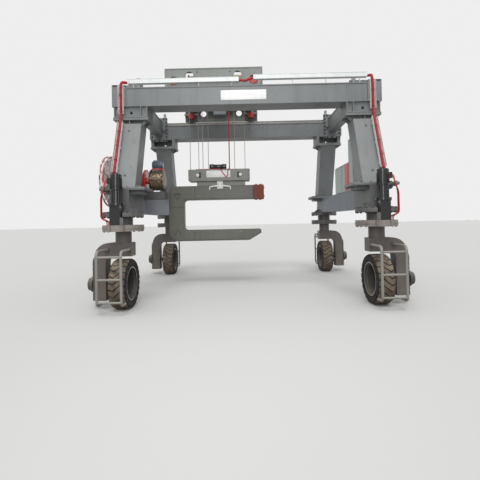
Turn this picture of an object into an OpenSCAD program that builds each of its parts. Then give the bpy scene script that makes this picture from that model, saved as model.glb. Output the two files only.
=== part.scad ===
// Rubber tyred gantry crane: two box girders on four leaning legs, two sills,
// four steered tyres, a trolley with a rope hoist, and a C-hook for coils.
// Millimetres, +Z up, X along the girders, front of the crane towards -Y.
// The origin is on the ground in the middle of the crane.

/* [Wheel layout] */
// Distance between the left and right tyre centres
track = 5200; // [5000:10:5400]
// Distance between the front and rear wheel axes
wheel_base = 4620; // [4560:10:4800]
// How far the legs and sills lie inside the tyres' centre planes
leg_inset = 30; // [10:5:50]

/* [Tyres and rims] */
// Outer diameter of a tyre
tyre_d = 1010; // [960:5:1030]
// Width of a tyre over its tread
tyre_w = 352; // [320:2:380]
// Diameter of the rim's barrel, on which the tyre sits
rim_d = 640; // [600:5:660]
// Width of the rim between its two bead flanges
rim_w = 290; // [260:5:310]
// Height of a bead flange above the barrel
bead_h = 26; // [20:1:32]
// Thickness of the rim's barrel and flanges
rim_t = 16; // [12:1:20]
// Diameter of the wheel's drive shaft
shaft_d = 130; // [110:2:150]
// Number of grooves round the tread
tread_count = 24; // [20:1:28]
// Width of a groove
groove_w = 24; // [18:1:28]
// Depth of a groove
groove_deep = 22; // [14:1:26]

/* [Forks] */
// Depth of the fork's box section, fore and aft
fork_y = 280; // [240:5:300]
// Height of the fork's crown box
crown_h = 277; // [250:1:300]
// Free height between the tyre and the crown
crown_gap = 60; // [40:5:80]
// How far the crown reaches inwards of the steering axis
crown_in = 202; // [180:2:220]
// Thickness of the fork's single arm
arm_t = 228; // [200:2:240]
// Free width between the tyre's wall and the arm
arm_gap = 151; // [130:1:170]
// Outer radius of the bend between crown and arm
bend_out_r = 290; // [250:5:320]
// Inner radius of that bend
bend_in_r = 120; // [80:5:140]
// Height of the arm's lower end above the ground
arm_foot = 180; // [150:5:220]
// Diameter of the steering column
column_d = 320; // [290:5:340]
// Height of the steering column above the crown
column_h = 233; // [210:1:250]

/* [Hub drives] */
// Thickness of the drive case on the arm's outer side
case_t = 50; // [40:1:60]
// Width of the drive case
case_w = 216; // [190:2:230]
// Diameter of the flange on the drive case
hub_flange_d = 330; // [300:5:350]
// Thickness of that flange
hub_flange_t = 40; // [30:1:50]
// Diameter of the drive's end housing
hub_motor_d = 254; // [220:2:270]
// Length of the end housing outside the flange
hub_motor_l = 64; // [50:1:80]

/* [Wheel guards] */
// Diameter of the guard's tube
guard_d = 50; // [42:1:60]
// Distance of the guard from the wheel axis
guard_y = 690; // [660:5:720]
// Distance between the two upright tubes
guard_w = 460; // [420:5:500]
// How far the guard's middle lies outside the steering axis
guard_out = 57; // [40:1:70]
// Height of the guard's upper end
guard_top = 1215; // [1180:5:1240]
// Height of the guard's lower end
guard_foot = 195; // [150:5:220]
// How far the lower ends reach back under the bars
guard_toe = 200; // [160:5:230]
// Outer diameter of the sockets that hold the guard's tubes
socket_d = 96; // [86:1:104]
// Length of those sockets
socket_l = 46; // [36:1:56]
// Radius of the bends at both ends
guard_bend_r = 90; // [70:5:100]

/* [Steering gear] */
// Radius of the gear housing about the steering axis
gear_r = 410; // [390:5:430]
// Height of the gear housing
gear_h = 125; // [110:1:150]
// Distance from the steering axis to the motor's axis
motor_y = 400; // [390:5:430]
// Radius of the housing's lobe under the motor
lobe_r = 160; // [145:5:180]
// Diameter of the neck above the housing
neck_d = 380; // [320:5:420]
// Height of the neck
neck_h = 165; // [150:1:190]
// Thickness of each of the two round flanges
disc_t = 40; // [30:1:45]
// Width of the steering motor's square gearbox
gearbox_w = 200; // [180:2:220]
// Height of the gearbox
gearbox_h = 385; // [360:1:400]
// Diameter of the bolted flange on the gearbox
motor_flange_d = 300; // [270:2:320]
// Thickness of that flange
motor_flange_t = 45; // [36:1:54]
// Diameter of the steering motor
motor_d = 226; // [210:2:240]
// Height of the reduction stage between its tie rods
stage_h = 248; // [220:1:270]
// Height of the motor above the reduction stage
motor_h = 305; // [280:1:330]

/* [Sills and legs] */
// Width of a sill
sill_w = 300; // [280:5:340]
// Height of a sill
sill_h = 460; // [430:5:500]
// How far a sill runs on past the wheel axis
sill_over = 190; // [150:5:200]
// Width of a leg across the crane
leg_w = 470; // [440:5:500]
// Depth of a leg fore and aft
leg_y = 420; // [380:5:440]
// Height of a leg between its flanges
leg_h = 1550; // [1450:10:1700]
// Distance from the middle to the centre of a leg's head
head_y = 1580; // [1560:5:1620]
// Distance from the middle to the centre of a leg's foot
foot_y = 2146; // [2100:2:2180]
// Width of the flanges at a leg's foot
foot_flange_w = 920; // [880:5:960]
// Depth of the flanges at a leg's foot
foot_flange_y = 640; // [600:5:680]
// Thickness of each bolted flange
flange_t = 30; // [24:1:36]

/* [Girders] */
// Width of a girder
girder_w = 480; // [460:5:500]
// Height of a girder
girder_h = 425; // [400:5:460]
// How far a girder runs on past the legs' centre plane
girder_over = 410; // [390:5:440]
// How far the girder's plates stand proud of its webs
plate_lip = 12; // [8:1:20]
// Thickness of the girder's top and bottom plates
girder_plate = 24; // [16:1:30]
// Length of the end box that is bolted to the girder
end_box_l = 290; // [250:5:300]
// How much the end box stands above the girder
end_box_rise = 60; // [40:5:70]
// Width of the head box under the girder
head_w = 740; // [720:5:780]
// Height of the head box
head_h = 240; // [210:5:260]
// Height of a rail
rail_h = 80; // [70:2:100]
// Width of a rail's foot
rail_foot = 80; // [70:2:90]
// Width of a rail's head
rail_head = 44; // [40:2:50]
// How far a rail stops short of the raised end boxes
rail_gap = 220; // [180:5:260]
// Height of the buffer posts above the girder
stop_h = 365; // [300:5:380]

/* [Tie beams] */
// How far a tie beam's centre lies outside the legs' centre plane
tie_out = 110; // [90:5:130]
// Width of a tie beam
tie_w = 220; // [200:5:240]
// Height of a tie beam
tie_h = 450; // [420:5:470]
// Height of the tie beam's underside above the girder's
tie_lift = 90; // [80:5:110]
// Width of the end plates
tie_plate_w = 520; // [480:5:540]
// Height of the end plates
tie_plate_h = 740; // [700:5:760]
// Thickness of the end plates
tie_plate_t = 26; // [20:1:32]

/* [Trolley] */
// Resting place of the trolley's centre along the girders
trolley_x = -745; // [-760:5:-730]
// Length of the trolley's side panels
panel_l = 2260; // [2200:5:2300]
// Height of the side panels
panel_h = 430; // [400:5:450]
// Thickness of the panels and their flanges
panel_t = 16; // [12:1:20]
// Distance between the wheel axes along the rail
trolley_base = 1845; // [1800:5:1880]
// Diameter of a trolley wheel's tread
trolley_wheel_d = 356; // [340:2:370]
// Diameter of the holes that show the wheel hubs
hub_hole_d = 206; // [190:2:220]
// Distance between the two large holes in a panel
panel_hole_gap = 1113; // [1080:1:1140]
// Diameter of the large holes
panel_hole_d = 180; // [160:2:200]
// Height of a large hole's centre above the panel's lower edge
panel_hole_z = 258; // [230:2:280]
// Thickness of the raised rings round the large holes
ring_t = 8; // [6:1:12]
// Diameter of the rope drum
drum_d = 360; // [320:5:400]
// Length of the rope drum between its flanges
drum_l = 1560; // [1500:5:1600]

/* [Hoist] */
// Height of the hook block's underside above the ground
block_z = 2820; // [2780:5:2860]
// Length of the hook block
block_l = 1640; // [1600:5:1680]
// Height of the hook block
block_h = 310; // [280:5:330]
// Width of the hook block
block_w = 400; // [360:5:440]
// Diameter of a hoist rope
rope_d = 16; // [12:1:20]
// Thickness of the C-hook's side cheeks and core together
hook_t = 240; // [220:5:280]
// Thickness of a side cheek
cheek_t = 20; // [14:1:30]
// How far the cheeks lie inside the core's outline
cheek_in = 38; // [26:1:50]
// Distance from the rope centre to the C-hook's back
hook_back = 1372; // [1340:2:1400]
// Width of the C-hook's back
hook_back_w = 410; // [380:5:430]
// Height of the C-hook's upper arm
hook_arm_h = 380; // [350:5:400]
// Height of the opening between its arms
hook_throat = 800; // [760:5:840]
// Height of its lower arm
hook_tongue_h = 300; // [270:5:320]
// Distance from the rope centre to the lower arm's tip
hook_tip = 1105; // [1080:5:1130]
// Length of the counterweight at the end of the upper arm
weight_l = 290; // [260:5:310]

/* [Cable reel] */
// Distance from the middle of the crane to the reel's axis, towards the front
reel_y = 1220; // [1200:5:1240]
// Height of the reel's axis
reel_z = 2730; // [2700:5:2760]
// Diameter of the reel
reel_d = 1190; // [1150:5:1210]
// Width of the reel
reel_w = 100; // [90:2:110]
// Diameter of the reel's shaft
reel_shaft_d = 90; // [80:2:100]
// Diameter of the drive's red disc
drive_disc_d = 540; // [500:5:560]
// Diameter of the magnetic coupling's drum
coupling_d = 440; // [410:5:460]
// Length of that drum
coupling_l = 330; // [300:5:350]

/* [Cabinets] */
// Depth of the cabinets across the sill
cabinet_x = 320; // [300:5:340]
// Length of the low cabinet along the sill
low_l = 1190; // [1150:5:1230]
// Height of the low cabinet
low_h = 650; // [600:5:700]
// Length of the tall cabinet along the sill
tall_l = 330; // [300:5:340]
// Height of the tall cabinet
tall_h = 1170; // [1100:5:1200]

/* [Hidden] */
$fn = 64;

// Clearances that every fit below uses
seat = 0.3;
running = 5;

// Heights of the portal, from the ground up
axle_z = tyre_d / 2;
crown_z = tyre_d + crown_gap;
crown_top = crown_z + crown_h;
gear_z = crown_top + column_h;
gear_top = gear_z + gear_h;
disc_z = gear_top + neck_h;
sill_z = disc_z + 2 * disc_t;
sill_top = sill_z + sill_h;
leg_z = sill_top + 2 * flange_t;
leg_top = leg_z + leg_h;
head_z = leg_top + 2 * flange_t;
girder_z = head_z + head_h;
girder_top = girder_z + girder_h;
rail_top = girder_top + rail_h;

// Places along and across the crane
leg_x = track / 2 - leg_inset;
girder_end = leg_x + girder_over;
splice_x = girder_end - end_box_l;
rail_half = splice_x - rail_gap;
sill_end = wheel_base / 2 + sill_over;
girder_in = head_y - girder_w / 2;
girder_out = head_y + girder_w / 2;
rail_y = girder_in + rail_foot / 2;
lean = atan((foot_y - head_y) / leg_h);

// Moves a corner's pieces to their place; side is -1 left, 1 right, end is -1 front, 1 rear
module corner(side, end)
  translate([side * track / 2, end * wheel_base / 2, 0])
    mirror([side < 0 ? 1 : 0, 0, 0]) mirror([0, end < 0 ? 1 : 0, 0]) children();

// The same for what stands on the legs' centre plane, with Y from the crane's middle
module quarter(side, end)
  mirror([side < 0 ? 1 : 0, 0, 0]) mirror([0, end < 0 ? 1 : 0, 0]) translate([leg_x, 0, 0]) children();

// All four corners or quarters at once
module corners() for (side = [-1, 1], end = [-1, 1]) corner(side, end) children();
module quarters() for (side = [-1, 1], end = [-1, 1]) quarter(side, end) children();

// A box between two opposite corners
module span(a, b) translate(a) cube(b - a);

// A box of size s about x = 0 and y = 0, from z0 up by h
module post(s, z0, h) translate([-s[0] / 2, -s[1] / 2, z0]) cube([s[0], s[1], h]);
module post_y(y, s, z0, h) translate([0, y, 0]) post(s, z0, h);

// A cylinder along X from x0 to x1
module rod_x(d, x0, x1) translate([x0, 0, 0]) rotate([0, 90, 0]) cylinder(d = d, h = x1 - x0);

// A profile drawn in the Y and Z directions, extruded along X by w about x = 0
module slab_x(w) translate([-w / 2, 0, 0]) rotate([90, 0, 90]) linear_extrude(w) children();

// A profile drawn in the X and Z directions, extruded along Y by w about y = 0
module slab_y(w) translate([0, w / 2, 0]) rotate([90, 0, 0]) linear_extrude(w) children();

// Points of an arc about c, from angle a to b in n steps
function arc(c, r, a, b, n = 8) =
  [for (i = [0:n]) c + r * [cos(a + (b - a) * i / n), sin(a + (b - a) * i / n)]];

// A cable of diameter d along a route whose corners are rounded over a length k
function unit(v) = v / norm(v);
function corner_points(p, i, k) = let (a = unit(p[i - 1] - p[i]) * k, c = unit(p[i + 1] - p[i]) * k)
  [for (t = [0:0.25:1]) p[i] + a * pow(1 - t, 2) + c * pow(t, 2)];
function rounded(p, k) = concat(
  [p[0]], [for (i = [1:len(p) - 2], q = corner_points(p, i, k)) q], [p[len(p) - 1]]);
function directions(p) = [for (i = [0:len(p) - 1])
  unit(p[min(i + 1, len(p) - 1)] - p[max(i - 1, 0)])];
function carried(t, u, i = 0) = i >= len(t) ? [] :
  let (v = unit(u - (u * t[i]) * t[i])) concat([v], carried(t, v, i + 1));
module cable(points, d, k, sides) {
  line = rounded(points, k);
  along = directions(line);
  across = carried(along, abs(along[0][2]) > 0.8 ? [1, 0, 0] : [0, 0, 1]);
  rings = [for (i = [0:len(line) - 1], j = [0:sides - 1]) line[i] + d / 2 * (
    across[i] * cos(j * 360 / sides) + cross(along[i], across[i]) * sin(j * 360 / sides))];
  last = (len(line) - 1) * sides;
  polyhedron(rings, concat(
    [[for (j = [0:sides - 1]) j]], [[for (j = [sides - 1:-1:0]) last + j]],
    [for (i = [0:len(line) - 2], j = [0:sides - 1])
      [i * sides + j, (i + 1) * sides + j, (i + 1) * sides + (j + 1) % sides,
       i * sides + (j + 1) % sides]]));
}
// Height of a cable's centre above the face that it lies on
function lying(d) = seat + d / 2;

// Box girder with plates over its webs, bolted end boxes and hollow head boxes on the legs
splice_t = 20;
end_notch = [90, 46, 34];
head_wall = 90;
head_cover = 180;
head_sheet = 22;
hand_hole_d = 70;
head_rib = [20, 52];
module girder_box(x0, x1, z1) {
  span([x0, -girder_w / 2 + plate_lip, girder_z], [x1, girder_w / 2 - plate_lip, z1]);
  span([x0, -girder_w / 2, girder_z], [x1, girder_w / 2, girder_z + girder_plate]);
  span([x0, -girder_w / 2, z1 - girder_plate], [x1, girder_w / 2, z1]);
}
module head_box() difference() {
  union() {
    post([head_w, girder_w - 2 * head_rib[1]], head_z, head_h);
    post([head_w, girder_w], head_z, head_sheet);
    span([-head_w / 2, -girder_w / 2, head_z], [head_w / 2, girder_w / 2 - head_rib[1], girder_z]);
    for (x = [-head_w / 2 + head_rib[0] / 2, -head_w / 5 * 1.5, head_w / 2 - head_rib[0] / 2])
      translate([x, 0, 0]) post([head_rib[0], girder_w], head_z, head_h);
  }
  span([-head_w / 2 + head_wall, -girder_w / 2 - 1, head_z + head_sheet],
       [head_w / 2 - head_wall, girder_w / 2 - head_cover, girder_z - head_sheet]);
  translate([0, girder_w / 2 + 1, head_z + head_h * 0.46]) rotate([90, 0, 0])
    cylinder(d = hand_hole_d, h = girder_w);
}
module girder(end) {
  color("dimgray") translate([0, end * head_y, 0]) mirror([0, end < 0 ? 1 : 0, 0]) {
    girder_box(-splice_x, splice_x, girder_top);
    for (side = [-1, 1]) mirror([side < 0 ? 1 : 0, 0, 0]) {
      difference() {
        span([splice_x, -girder_w / 2, girder_z],
             [girder_end, girder_w / 2, girder_top + end_box_rise]);
        translate([girder_end - end_notch[0] - girder_plate, girder_w / 2 - end_notch[1],
                   girder_top + end_box_rise - end_notch[2] - splice_t / 2])
          cube([end_notch[0], end_notch[1] + 1, end_notch[2]]);
      }
      for (x = [splice_x - splice_t, splice_x])
        span([x, girder_w / 2 - splice_t, girder_z], [x + splice_t, girder_w / 2 + plate_lip, girder_top]);
      translate([leg_x, 0, 0]) head_box();
    }
  }
}

// Leaning leg column between its head flange and its foot flange, with its gussets
head_over = 20;
head_recess = [85, 110];
gusset_t = 20;
head_gusset = 105;
foot_gusset = 62;
module side_gusset(x0, x1, z, h, y)
  translate([0, y, 0]) slab_y(gusset_t) polygon([[x0, z], [x1, z], [x0, z + h]]);
module leg() color("gray") {
  top_y = head_y + leg_y / 2;
  slab_x(leg_w) polygon([
    [foot_y - leg_y / 2, leg_z], [foot_y + leg_y / 2, leg_z],
    [top_y + head_recess[0] * tan(lean), leg_top - head_recess[0]],
    [top_y - head_recess[1], leg_top - head_recess[0]],
    [top_y - head_recess[1], leg_top], [head_y - leg_y / 2, leg_top]]);
  post_y(foot_y, [foot_flange_w, foot_flange_y], leg_z - flange_t, flange_t);
  post_y(head_y, [head_w + 2 * head_over, girder_w], leg_top, 2 * flange_t);
  translate([leg_w / 2 - head_w / 2 + 170, 0, 0]) slab_x(gusset_t) polygon([
    [top_y - head_recess[1] - 1, leg_top - head_recess[0] - 1], [top_y, leg_top - head_recess[0] - 1],
    [top_y, leg_top], [top_y - head_recess[1] - 1, leg_top]]);
  for (x = [-1, 1], y = [-1, 1]) mirror([x < 0 ? 1 : 0, 0, 0]) {
    side_gusset(leg_w / 2 - 1, head_w / 2, leg_top, -head_gusset, head_y + y * leg_y * 0.3);
    side_gusset(leg_w / 2 - 1, foot_flange_w / 2 - 30, leg_z, foot_gusset, foot_y + y * leg_y * 0.3);
  }
}
// Sill beam with its leg seats, and round flanges with gussets under its ends
seat_core = [260, 420, 78];
seat_core_r = 55;
disc_ring_h = 26;
disc_gusset = 110;
module seat_side() {
  x1 = sill_w / 2 + seat_core[0] * 0.85;
  translate([0, foot_y, 0]) slab_y(seat_core[1]) polygon(concat(
    [[sill_w / 2 - 1, sill_top + 1], [sill_w / 2 - 1, sill_top - seat_core[2]]],
    arc([x1 - seat_core_r, sill_top - seat_core[2] + seat_core_r], seat_core_r, -90, 0),
    [[x1, sill_top + 1]]));
}
module disc_gussets() for (y = [-150, 0, 150])
  translate([0, wheel_base / 2 + y, 0]) slab_y(gusset_t) polygon(concat(
    [[sill_w / 2 - 1, sill_z - 1]],
    [[gear_r - 60 - abs(y) * 0.3, sill_z - 1], [gear_r - 60 - abs(y) * 0.3, sill_z + 12]],
    arc([gear_r - 60 - abs(y) * 0.3, sill_z + 12 + disc_gusset], disc_gusset, 270, 205),
    [[sill_w / 2 - 1, sill_z + 12 + disc_gusset]]));
module sill(side) {
  color("dimgray") difference() {
    union() {
      for (end = [-1, 1]) quarter(side, end) {
        span([-sill_w / 2, -1, sill_z], [sill_w / 2, sill_end, sill_top]);
        post_y(foot_y, [foot_flange_w, foot_flange_y], sill_top, flange_t);
        for (x = [0, 1]) mirror([x, 0, 0]) {
          seat_side();
          disc_gussets();
        }
      }
      for (end = [-1, 1]) corner(side, end) {
        translate([0, 0, sill_z - disc_t]) cylinder(r = gear_r, h = disc_t);
        translate([0, 0, sill_z - 1]) cylinder(r = gear_r - 70, h = disc_ring_h + 1);
      }
    }
    for (end = [-1, 1]) corner(side, end) motor_scallop();
  }
}

// Room for the steering motor's gearbox beside the round flanges
module motor_scallop() {
  w = gearbox_w + 4 * running;
  translate([0, motor_y, 0]) post([w, w + 2 * running], disc_z - running, 3 * disc_t + running);
}

// Gear housing with its seam and lobe, the neck and the round flange under the sill
column_spigot_d = column_d * 0.6;
spigot_h = 80;
seam_w = 10;
motor_spigot_d = 120;
motor_spigot_h = 40;
module steering_gear() {
  color("dimgray") difference() {
    union() {
      translate([0, 0, gear_z]) linear_extrude(gear_h) {
        circle(r = gear_r);
        translate([0, motor_y]) circle(r = lobe_r);
        translate([-lobe_r, 0]) square([2 * lobe_r, motor_y]);
      }
      translate([0, 0, gear_z + gear_h * 0.4]) cylinder(r = gear_r + 8, h = gear_h * 0.2);
      translate([0, 0, gear_top]) cylinder(d = neck_d, h = neck_h);
      translate([0, 0, disc_z]) cylinder(r = gear_r, h = disc_t);
    }
    motor_scallop();
    span([lobe_r * 0.4, motor_y, gear_z - 1], [lobe_r * 0.4 + seam_w, gear_r * 2, gear_top + 1]);
    translate([0, motor_y, gear_top - motor_spigot_h])
      cylinder(d = motor_spigot_d + 2 * seat, h = motor_spigot_h + 1);
    translate([0, 0, gear_z - 1]) cylinder(d = column_spigot_d + 2 * seat, h = spigot_h + running + 1);
  }
}

// Steering motor: square gearbox, bolted flange, reduction stage with tie rods, and motor
tie_rod_d = 24;
motor_gap = 7;
terminal = [62, 96, 116];
module steering_motor() {
  z1 = gear_top + seat + gearbox_h;
  z2 = z1 + motor_flange_t;
  z3 = z2 + stage_h;
  color("black") translate([0, motor_y, 0]) {
    post([gearbox_w, gearbox_w], gear_top + seat, gearbox_h);
    translate([0, 0, gear_top - motor_spigot_h + seat]) cylinder(d = motor_spigot_d, h = motor_spigot_h + 1);
    translate([0, 0, z1]) cylinder(d = motor_flange_d, h = motor_flange_t);
    translate([0, 0, z2]) cylinder(d = motor_d - 56, h = stage_h);
    for (a = [45:90:315]) rotate([0, 0, a]) translate([motor_d / 2 - tie_rod_d / 2, 0, z2])
      cylinder(d = tie_rod_d, h = stage_h);
    translate([0, 0, z3]) cylinder(d = motor_d - 2 * motor_gap, h = motor_gap);
    translate([0, 0, z3 + motor_gap]) cylinder(d = motor_d, h = motor_h - motor_gap);
    translate([motor_d / 2 + terminal[0] / 2 - 12, 0, 0])
      post([terminal[0], terminal[1]], z3 + motor_h - 60 - terminal[2], terminal[2]);
  }
}

// Outline of the fork: crown, bend and single arm, in X and Z
arm_in = tyre_w / 2 + arm_gap;
arm_out = arm_in + arm_t;
function fork_outline() = concat(
  [[-crown_in, crown_top], [-crown_in, crown_z]],
  arc([arm_in - bend_in_r, crown_z - bend_in_r], bend_in_r, 90, 0),
  [[arm_in, arm_foot], [arm_out, arm_foot]],
  arc([arm_out - bend_out_r, crown_top - bend_out_r], bend_out_r, 0, 90));

// Box fork with its steering column, the spigot in the gear housing and the guard's sockets
module fork() {
  color("dimgray") {
    difference() {
      union() {
        slab_y(fork_y) polygon(fork_outline());
        for (side = [-1, 1]) translate([guard_out + side * guard_w / 2, fork_y / 2 - 1, guard_top])
          rotate([-90, 0, 0]) cylinder(d = socket_d, h = socket_l + 1);
      }
      for (side = [-1, 1]) translate([guard_out + side * guard_w / 2, fork_y / 2, guard_top])
        rotate([-90, 0, 0]) cylinder(d = guard_d + 2 * seat, h = socket_l + 1);
      translate([0, 0, axle_z]) rod_x(shaft_d + 2 * seat, arm_in - 1, arm_out + 1);
    }
    translate([0, 0, crown_top - 1]) cylinder(d = column_d, h = column_h - running + 1);
    translate([0, 0, crown_top]) cylinder(d = column_spigot_d, h = column_h + spigot_h);
  }
}

// Drive case with its round top on the arm's outer side, and the hub drive on it
module hub_drive() {
  case_top = crown_top - bend_out_r - case_w / 2;
  x1 = arm_out + case_t;
  color("dimgray") {
    translate([arm_out + case_t / 2, 0, 0]) slab_x(case_t) polygon(concat(
      [[-case_w / 2, arm_foot], [case_w / 2, arm_foot]],
      arc([0, case_top], case_w / 2, 0, 180, 16)));
    translate([0, 0, axle_z]) {
      rod_x(hub_flange_d, x1, x1 + hub_flange_t);
      rod_x(hub_motor_d, x1 + hub_flange_t, x1 + hub_flange_t + hub_motor_l);
    }
  }
}

// Guard of bent tube: two uprights that plug into the fork's sockets, and three bars
module tube_arc(c, r, a, b) {
  translate([0, c[0], c[1]]) rotate([90, 0, 90]) rotate([0, 0, a])
    rotate_extrude(angle = b - a) translate([r, 0]) circle(d = guard_d, $fn = 32);
}
guard_bars = [guard_top - 105, (guard_top + guard_foot) / 2 - 18, guard_foot + 65];
module guard() {
  bend_top = guard_top - guard_bend_r;
  bend_low = guard_foot + guard_bend_r;
  color("darkgray") translate([guard_out, 0, 0]) {
    for (side = [-1, 1]) translate([side * guard_w / 2, 0, 0]) {
      translate([0, fork_y / 2 + seat, guard_top]) rotate([-90, 0, 0])
        cylinder(d = guard_d, h = guard_y - guard_bend_r - fork_y / 2 - seat);
      tube_arc([guard_y - guard_bend_r, bend_top], guard_bend_r, 0, 90);
      translate([0, guard_y, bend_low]) cylinder(d = guard_d, h = bend_top - bend_low);
      tube_arc([guard_y - guard_bend_r, bend_low], guard_bend_r, -90, 0);
      translate([0, guard_y - guard_toe, guard_foot]) rotate([-90, 0, 0])
        cylinder(d = guard_d, h = guard_toe - guard_bend_r);
      translate([0, guard_y - guard_toe, guard_foot]) sphere(d = guard_d + 8);
    }
    for (z = guard_bars) translate([0, guard_y, z])
      rod_x(guard_d - 6, -guard_w / 2, guard_w / 2);
  }
}

// Rim with two bead flanges, a dished disc near the arm, a hub and the shaft in the arm
rim_lip = 12;
disc_x = 84;
disc_wall = 18;
hub_cap_d = 150;
hub_cap_h = 44;
module rim() {
  r0 = rim_d / 2;
  r1 = r0 - rim_t;
  half = rim_w / 2;
  color("dimgray") translate([0, 0, axle_z]) {
    rotate([0, 90, 0]) rotate_extrude() polygon([
      [0, disc_x - 30 - hub_cap_h], [hub_cap_d / 2 - 8, disc_x - 30 - hub_cap_h],
      [hub_cap_d / 2, disc_x - 22 - hub_cap_h], [hub_cap_d / 2, disc_x - 30], [r1 * 0.5, disc_x - 30],
      [r1 * 0.66, disc_x], [r1 - 4, disc_x], [r1, disc_x - 4],
      [r1, -half + 40], [r1 + rim_lip, -half + 22], [r1 + rim_lip, -half - rim_t],
      [r0 + bead_h, -half - rim_t], [r0 + bead_h, -half], [r0, -half],
      [r0, half], [r0 + bead_h, half], [r0 + bead_h, half + rim_t],
      [r1 + rim_lip, half + rim_t], [r1, half - 20], [r1, disc_x + disc_wall],
      [r1 * 0.66 - 4, disc_x + disc_wall], [r1 * 0.5, disc_x - 30 + disc_wall],
      [shaft_d / 2 + 30, disc_x - 30 + disc_wall], [shaft_d / 2 + 30, half + 30], [0, half + 30]]);
    rod_x(shaft_d, disc_x, arm_out);
  }
}

// Tyre: a ring with a crowned tread, bulged walls and notched shoulders
tread_side = 3;
groove_path = [[-0.56, 0], [-0.25, -0.42], [0.2, 0.6], [0.34, 0.33], [0.56, 0.52]];
function tread_point(p, over) = [p[0] * tyre_w, p[1] * PI * tyre_d / tread_count + over * groove_w / 2];
module groove_band(path) polygon(concat(
  [for (p = path) tread_point(p, 1)],
  [for (i = [len(path) - 1:-1:0]) tread_point(path[i], -1)]));
module notch(x, v) translate([x, v * PI * tyre_d / tread_count])
  square([24, groove_w + 6], center = true);
module tyre_ring() {
  r0 = rim_d / 2 + seat;
  r1 = tyre_d / 2;
  bead_x = rim_w / 2 - seat;
  half = tyre_w / 2;
  wall = half - 6;
  rotate([0, 90, 0]) rotate_extrude() polygon(concat(
    [[r0, -bead_x], [r0 + bead_h + 4, -bead_x]],
    [[r0 + 50, -wall + 8], [r1 - 90, -wall], [r1 - 30, -half], [r1, -half + 40]],
    [[r1, half - 40], [r1 - 30, half], [r1 - 90, wall], [r0 + 50, wall - 8]],
    [[r0 + bead_h + 4, bead_x], [r0, bead_x]]));
}
module tyre(turn) {
  r1 = tyre_d / 2;
  link = [[-0.25, -0.42], [-0.1, -0.98]];
  color([0.2, 0.19, 0.18]) translate([0, 0, axle_z]) difference() {
    tyre_ring();
    for (i = [0:tread_count - 1]) rotate([i * 360 / tread_count, 0, 0]) scale_turn(turn) {
      translate([0, 0, r1 - groove_deep]) linear_extrude(2 * groove_deep) groove_band(groove_path);
      if (i % 2 == 0) translate([0, 0, r1 - groove_deep * 0.7]) linear_extrude(2 * groove_deep)
        groove_band(link);
      translate([0, 0, r1 - 62]) linear_extrude(90) {
        notch(-tyre_w / 2 + tread_side, 0);
        notch(tyre_w / 2 - tread_side, 0.5);
      }
    }
  }
}
// Turns the tread's pattern end for end, as on a tyre fitted the other way round
module scale_turn(turn) rotate([0, 0, turn < 0 ? 180 : 0]) children();

// Two tie beams along Y, each with an end plate and a bracket against each girder
tie_lug = [70, 60, 90];
module tie_beams() {
  plate_z = girder_z + girder_h / 2 - tie_plate_h / 2 + 78;
  z0 = girder_z + tie_lift;
  y0 = girder_in - tie_plate_t;
  color("dimgray") for (side = [-1, 1]) mirror([side < 0 ? 1 : 0, 0, 0]) translate([leg_x + tie_out, 0, 0]) {
    span([-tie_w / 2 + plate_lip, -y0, z0], [tie_w / 2 - plate_lip, y0, z0 + tie_h]);
    for (z = [z0, z0 + tie_h - girder_plate]) span([-tie_w / 2, -y0, z], [tie_w / 2, y0, z + girder_plate]);
    for (end = [-1, 1]) mirror([0, end < 0 ? 1 : 0, 0]) {
      span([-tie_plate_w / 2, y0, plate_z], [tie_plate_w / 2, girder_in, plate_z + tie_plate_h]);
      translate([-tie_w / 2 - tie_lug[0] / 2 - 10, y0 - tie_lug[1] / 2 + 1, 0])
        post([tie_lug[0], tie_lug[1]], z0 + tie_h * 0.35, tie_lug[2]);
    }
  }
}

// Rails on the inner edge of the girders, with a buffer post at each end
stop_w = 70;
module rails() {
  web = 16;
  color("silver") for (end = [-1, 1]) translate([0, end * rail_y, girder_top]) {
    slab_x(2 * rail_half) polygon([
      [-rail_foot / 2, 0], [rail_foot / 2, 0], [rail_foot / 2, 10], [web / 2, 20],
      [web / 2, rail_h - 26], [rail_head / 2, rail_h - 20], [rail_head / 2, rail_h],
      [-rail_head / 2, rail_h], [-rail_head / 2, rail_h - 20], [-web / 2, rail_h - 26],
      [-web / 2, 20], [-rail_foot / 2, 10]]);
    for (side = [-1, 1]) translate([side * (rail_half + stop_w / 2), 0, 0])
      post([stop_w, rail_foot], 0, stop_h);
  }
}

// Sheet metal cable trays: on the front girder, down its ends and down the front legs
tray_w = 100;
tray_h = 95;
tray_t = 4;
tray_y = girder_out - 45;
left_tray = [-girder_end + 350, -165];
right_tray = [160, girder_end - 310];
left_tray_z = girder_top + 85;
right_tray_z = girder_top + 125;
drop_w = 116;
drop_d = 75;
drop_x = splice_x + splice_t + 2 + drop_w / 2;
drop_low = head_z + 70;
drop_top = girder_top + 40;
slope_gap = 55;
slope_top = 95;
slope_len = 1230;
module channel(w, d, t) difference() {
  translate([-w / 2, 0]) square([w, d]);
  translate([-w / 2 + t, t]) square([w - 2 * t, d]);
}
module tray_run(x0, x1, z) {
  translate([(x0 + x1) / 2, -tray_y, z]) slab_x(x1 - x0) channel(tray_w, tray_h, tray_t);
  for (i = [0:3]) translate([x0 + 120 + i * (x1 - x0 - 280) / 3, -tray_y, 0]) {
    span([0, -30, girder_top], [6, 30, z]);
    span([0, -30, girder_top], [50, 30, girder_top + 6]);
  }
}
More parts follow.
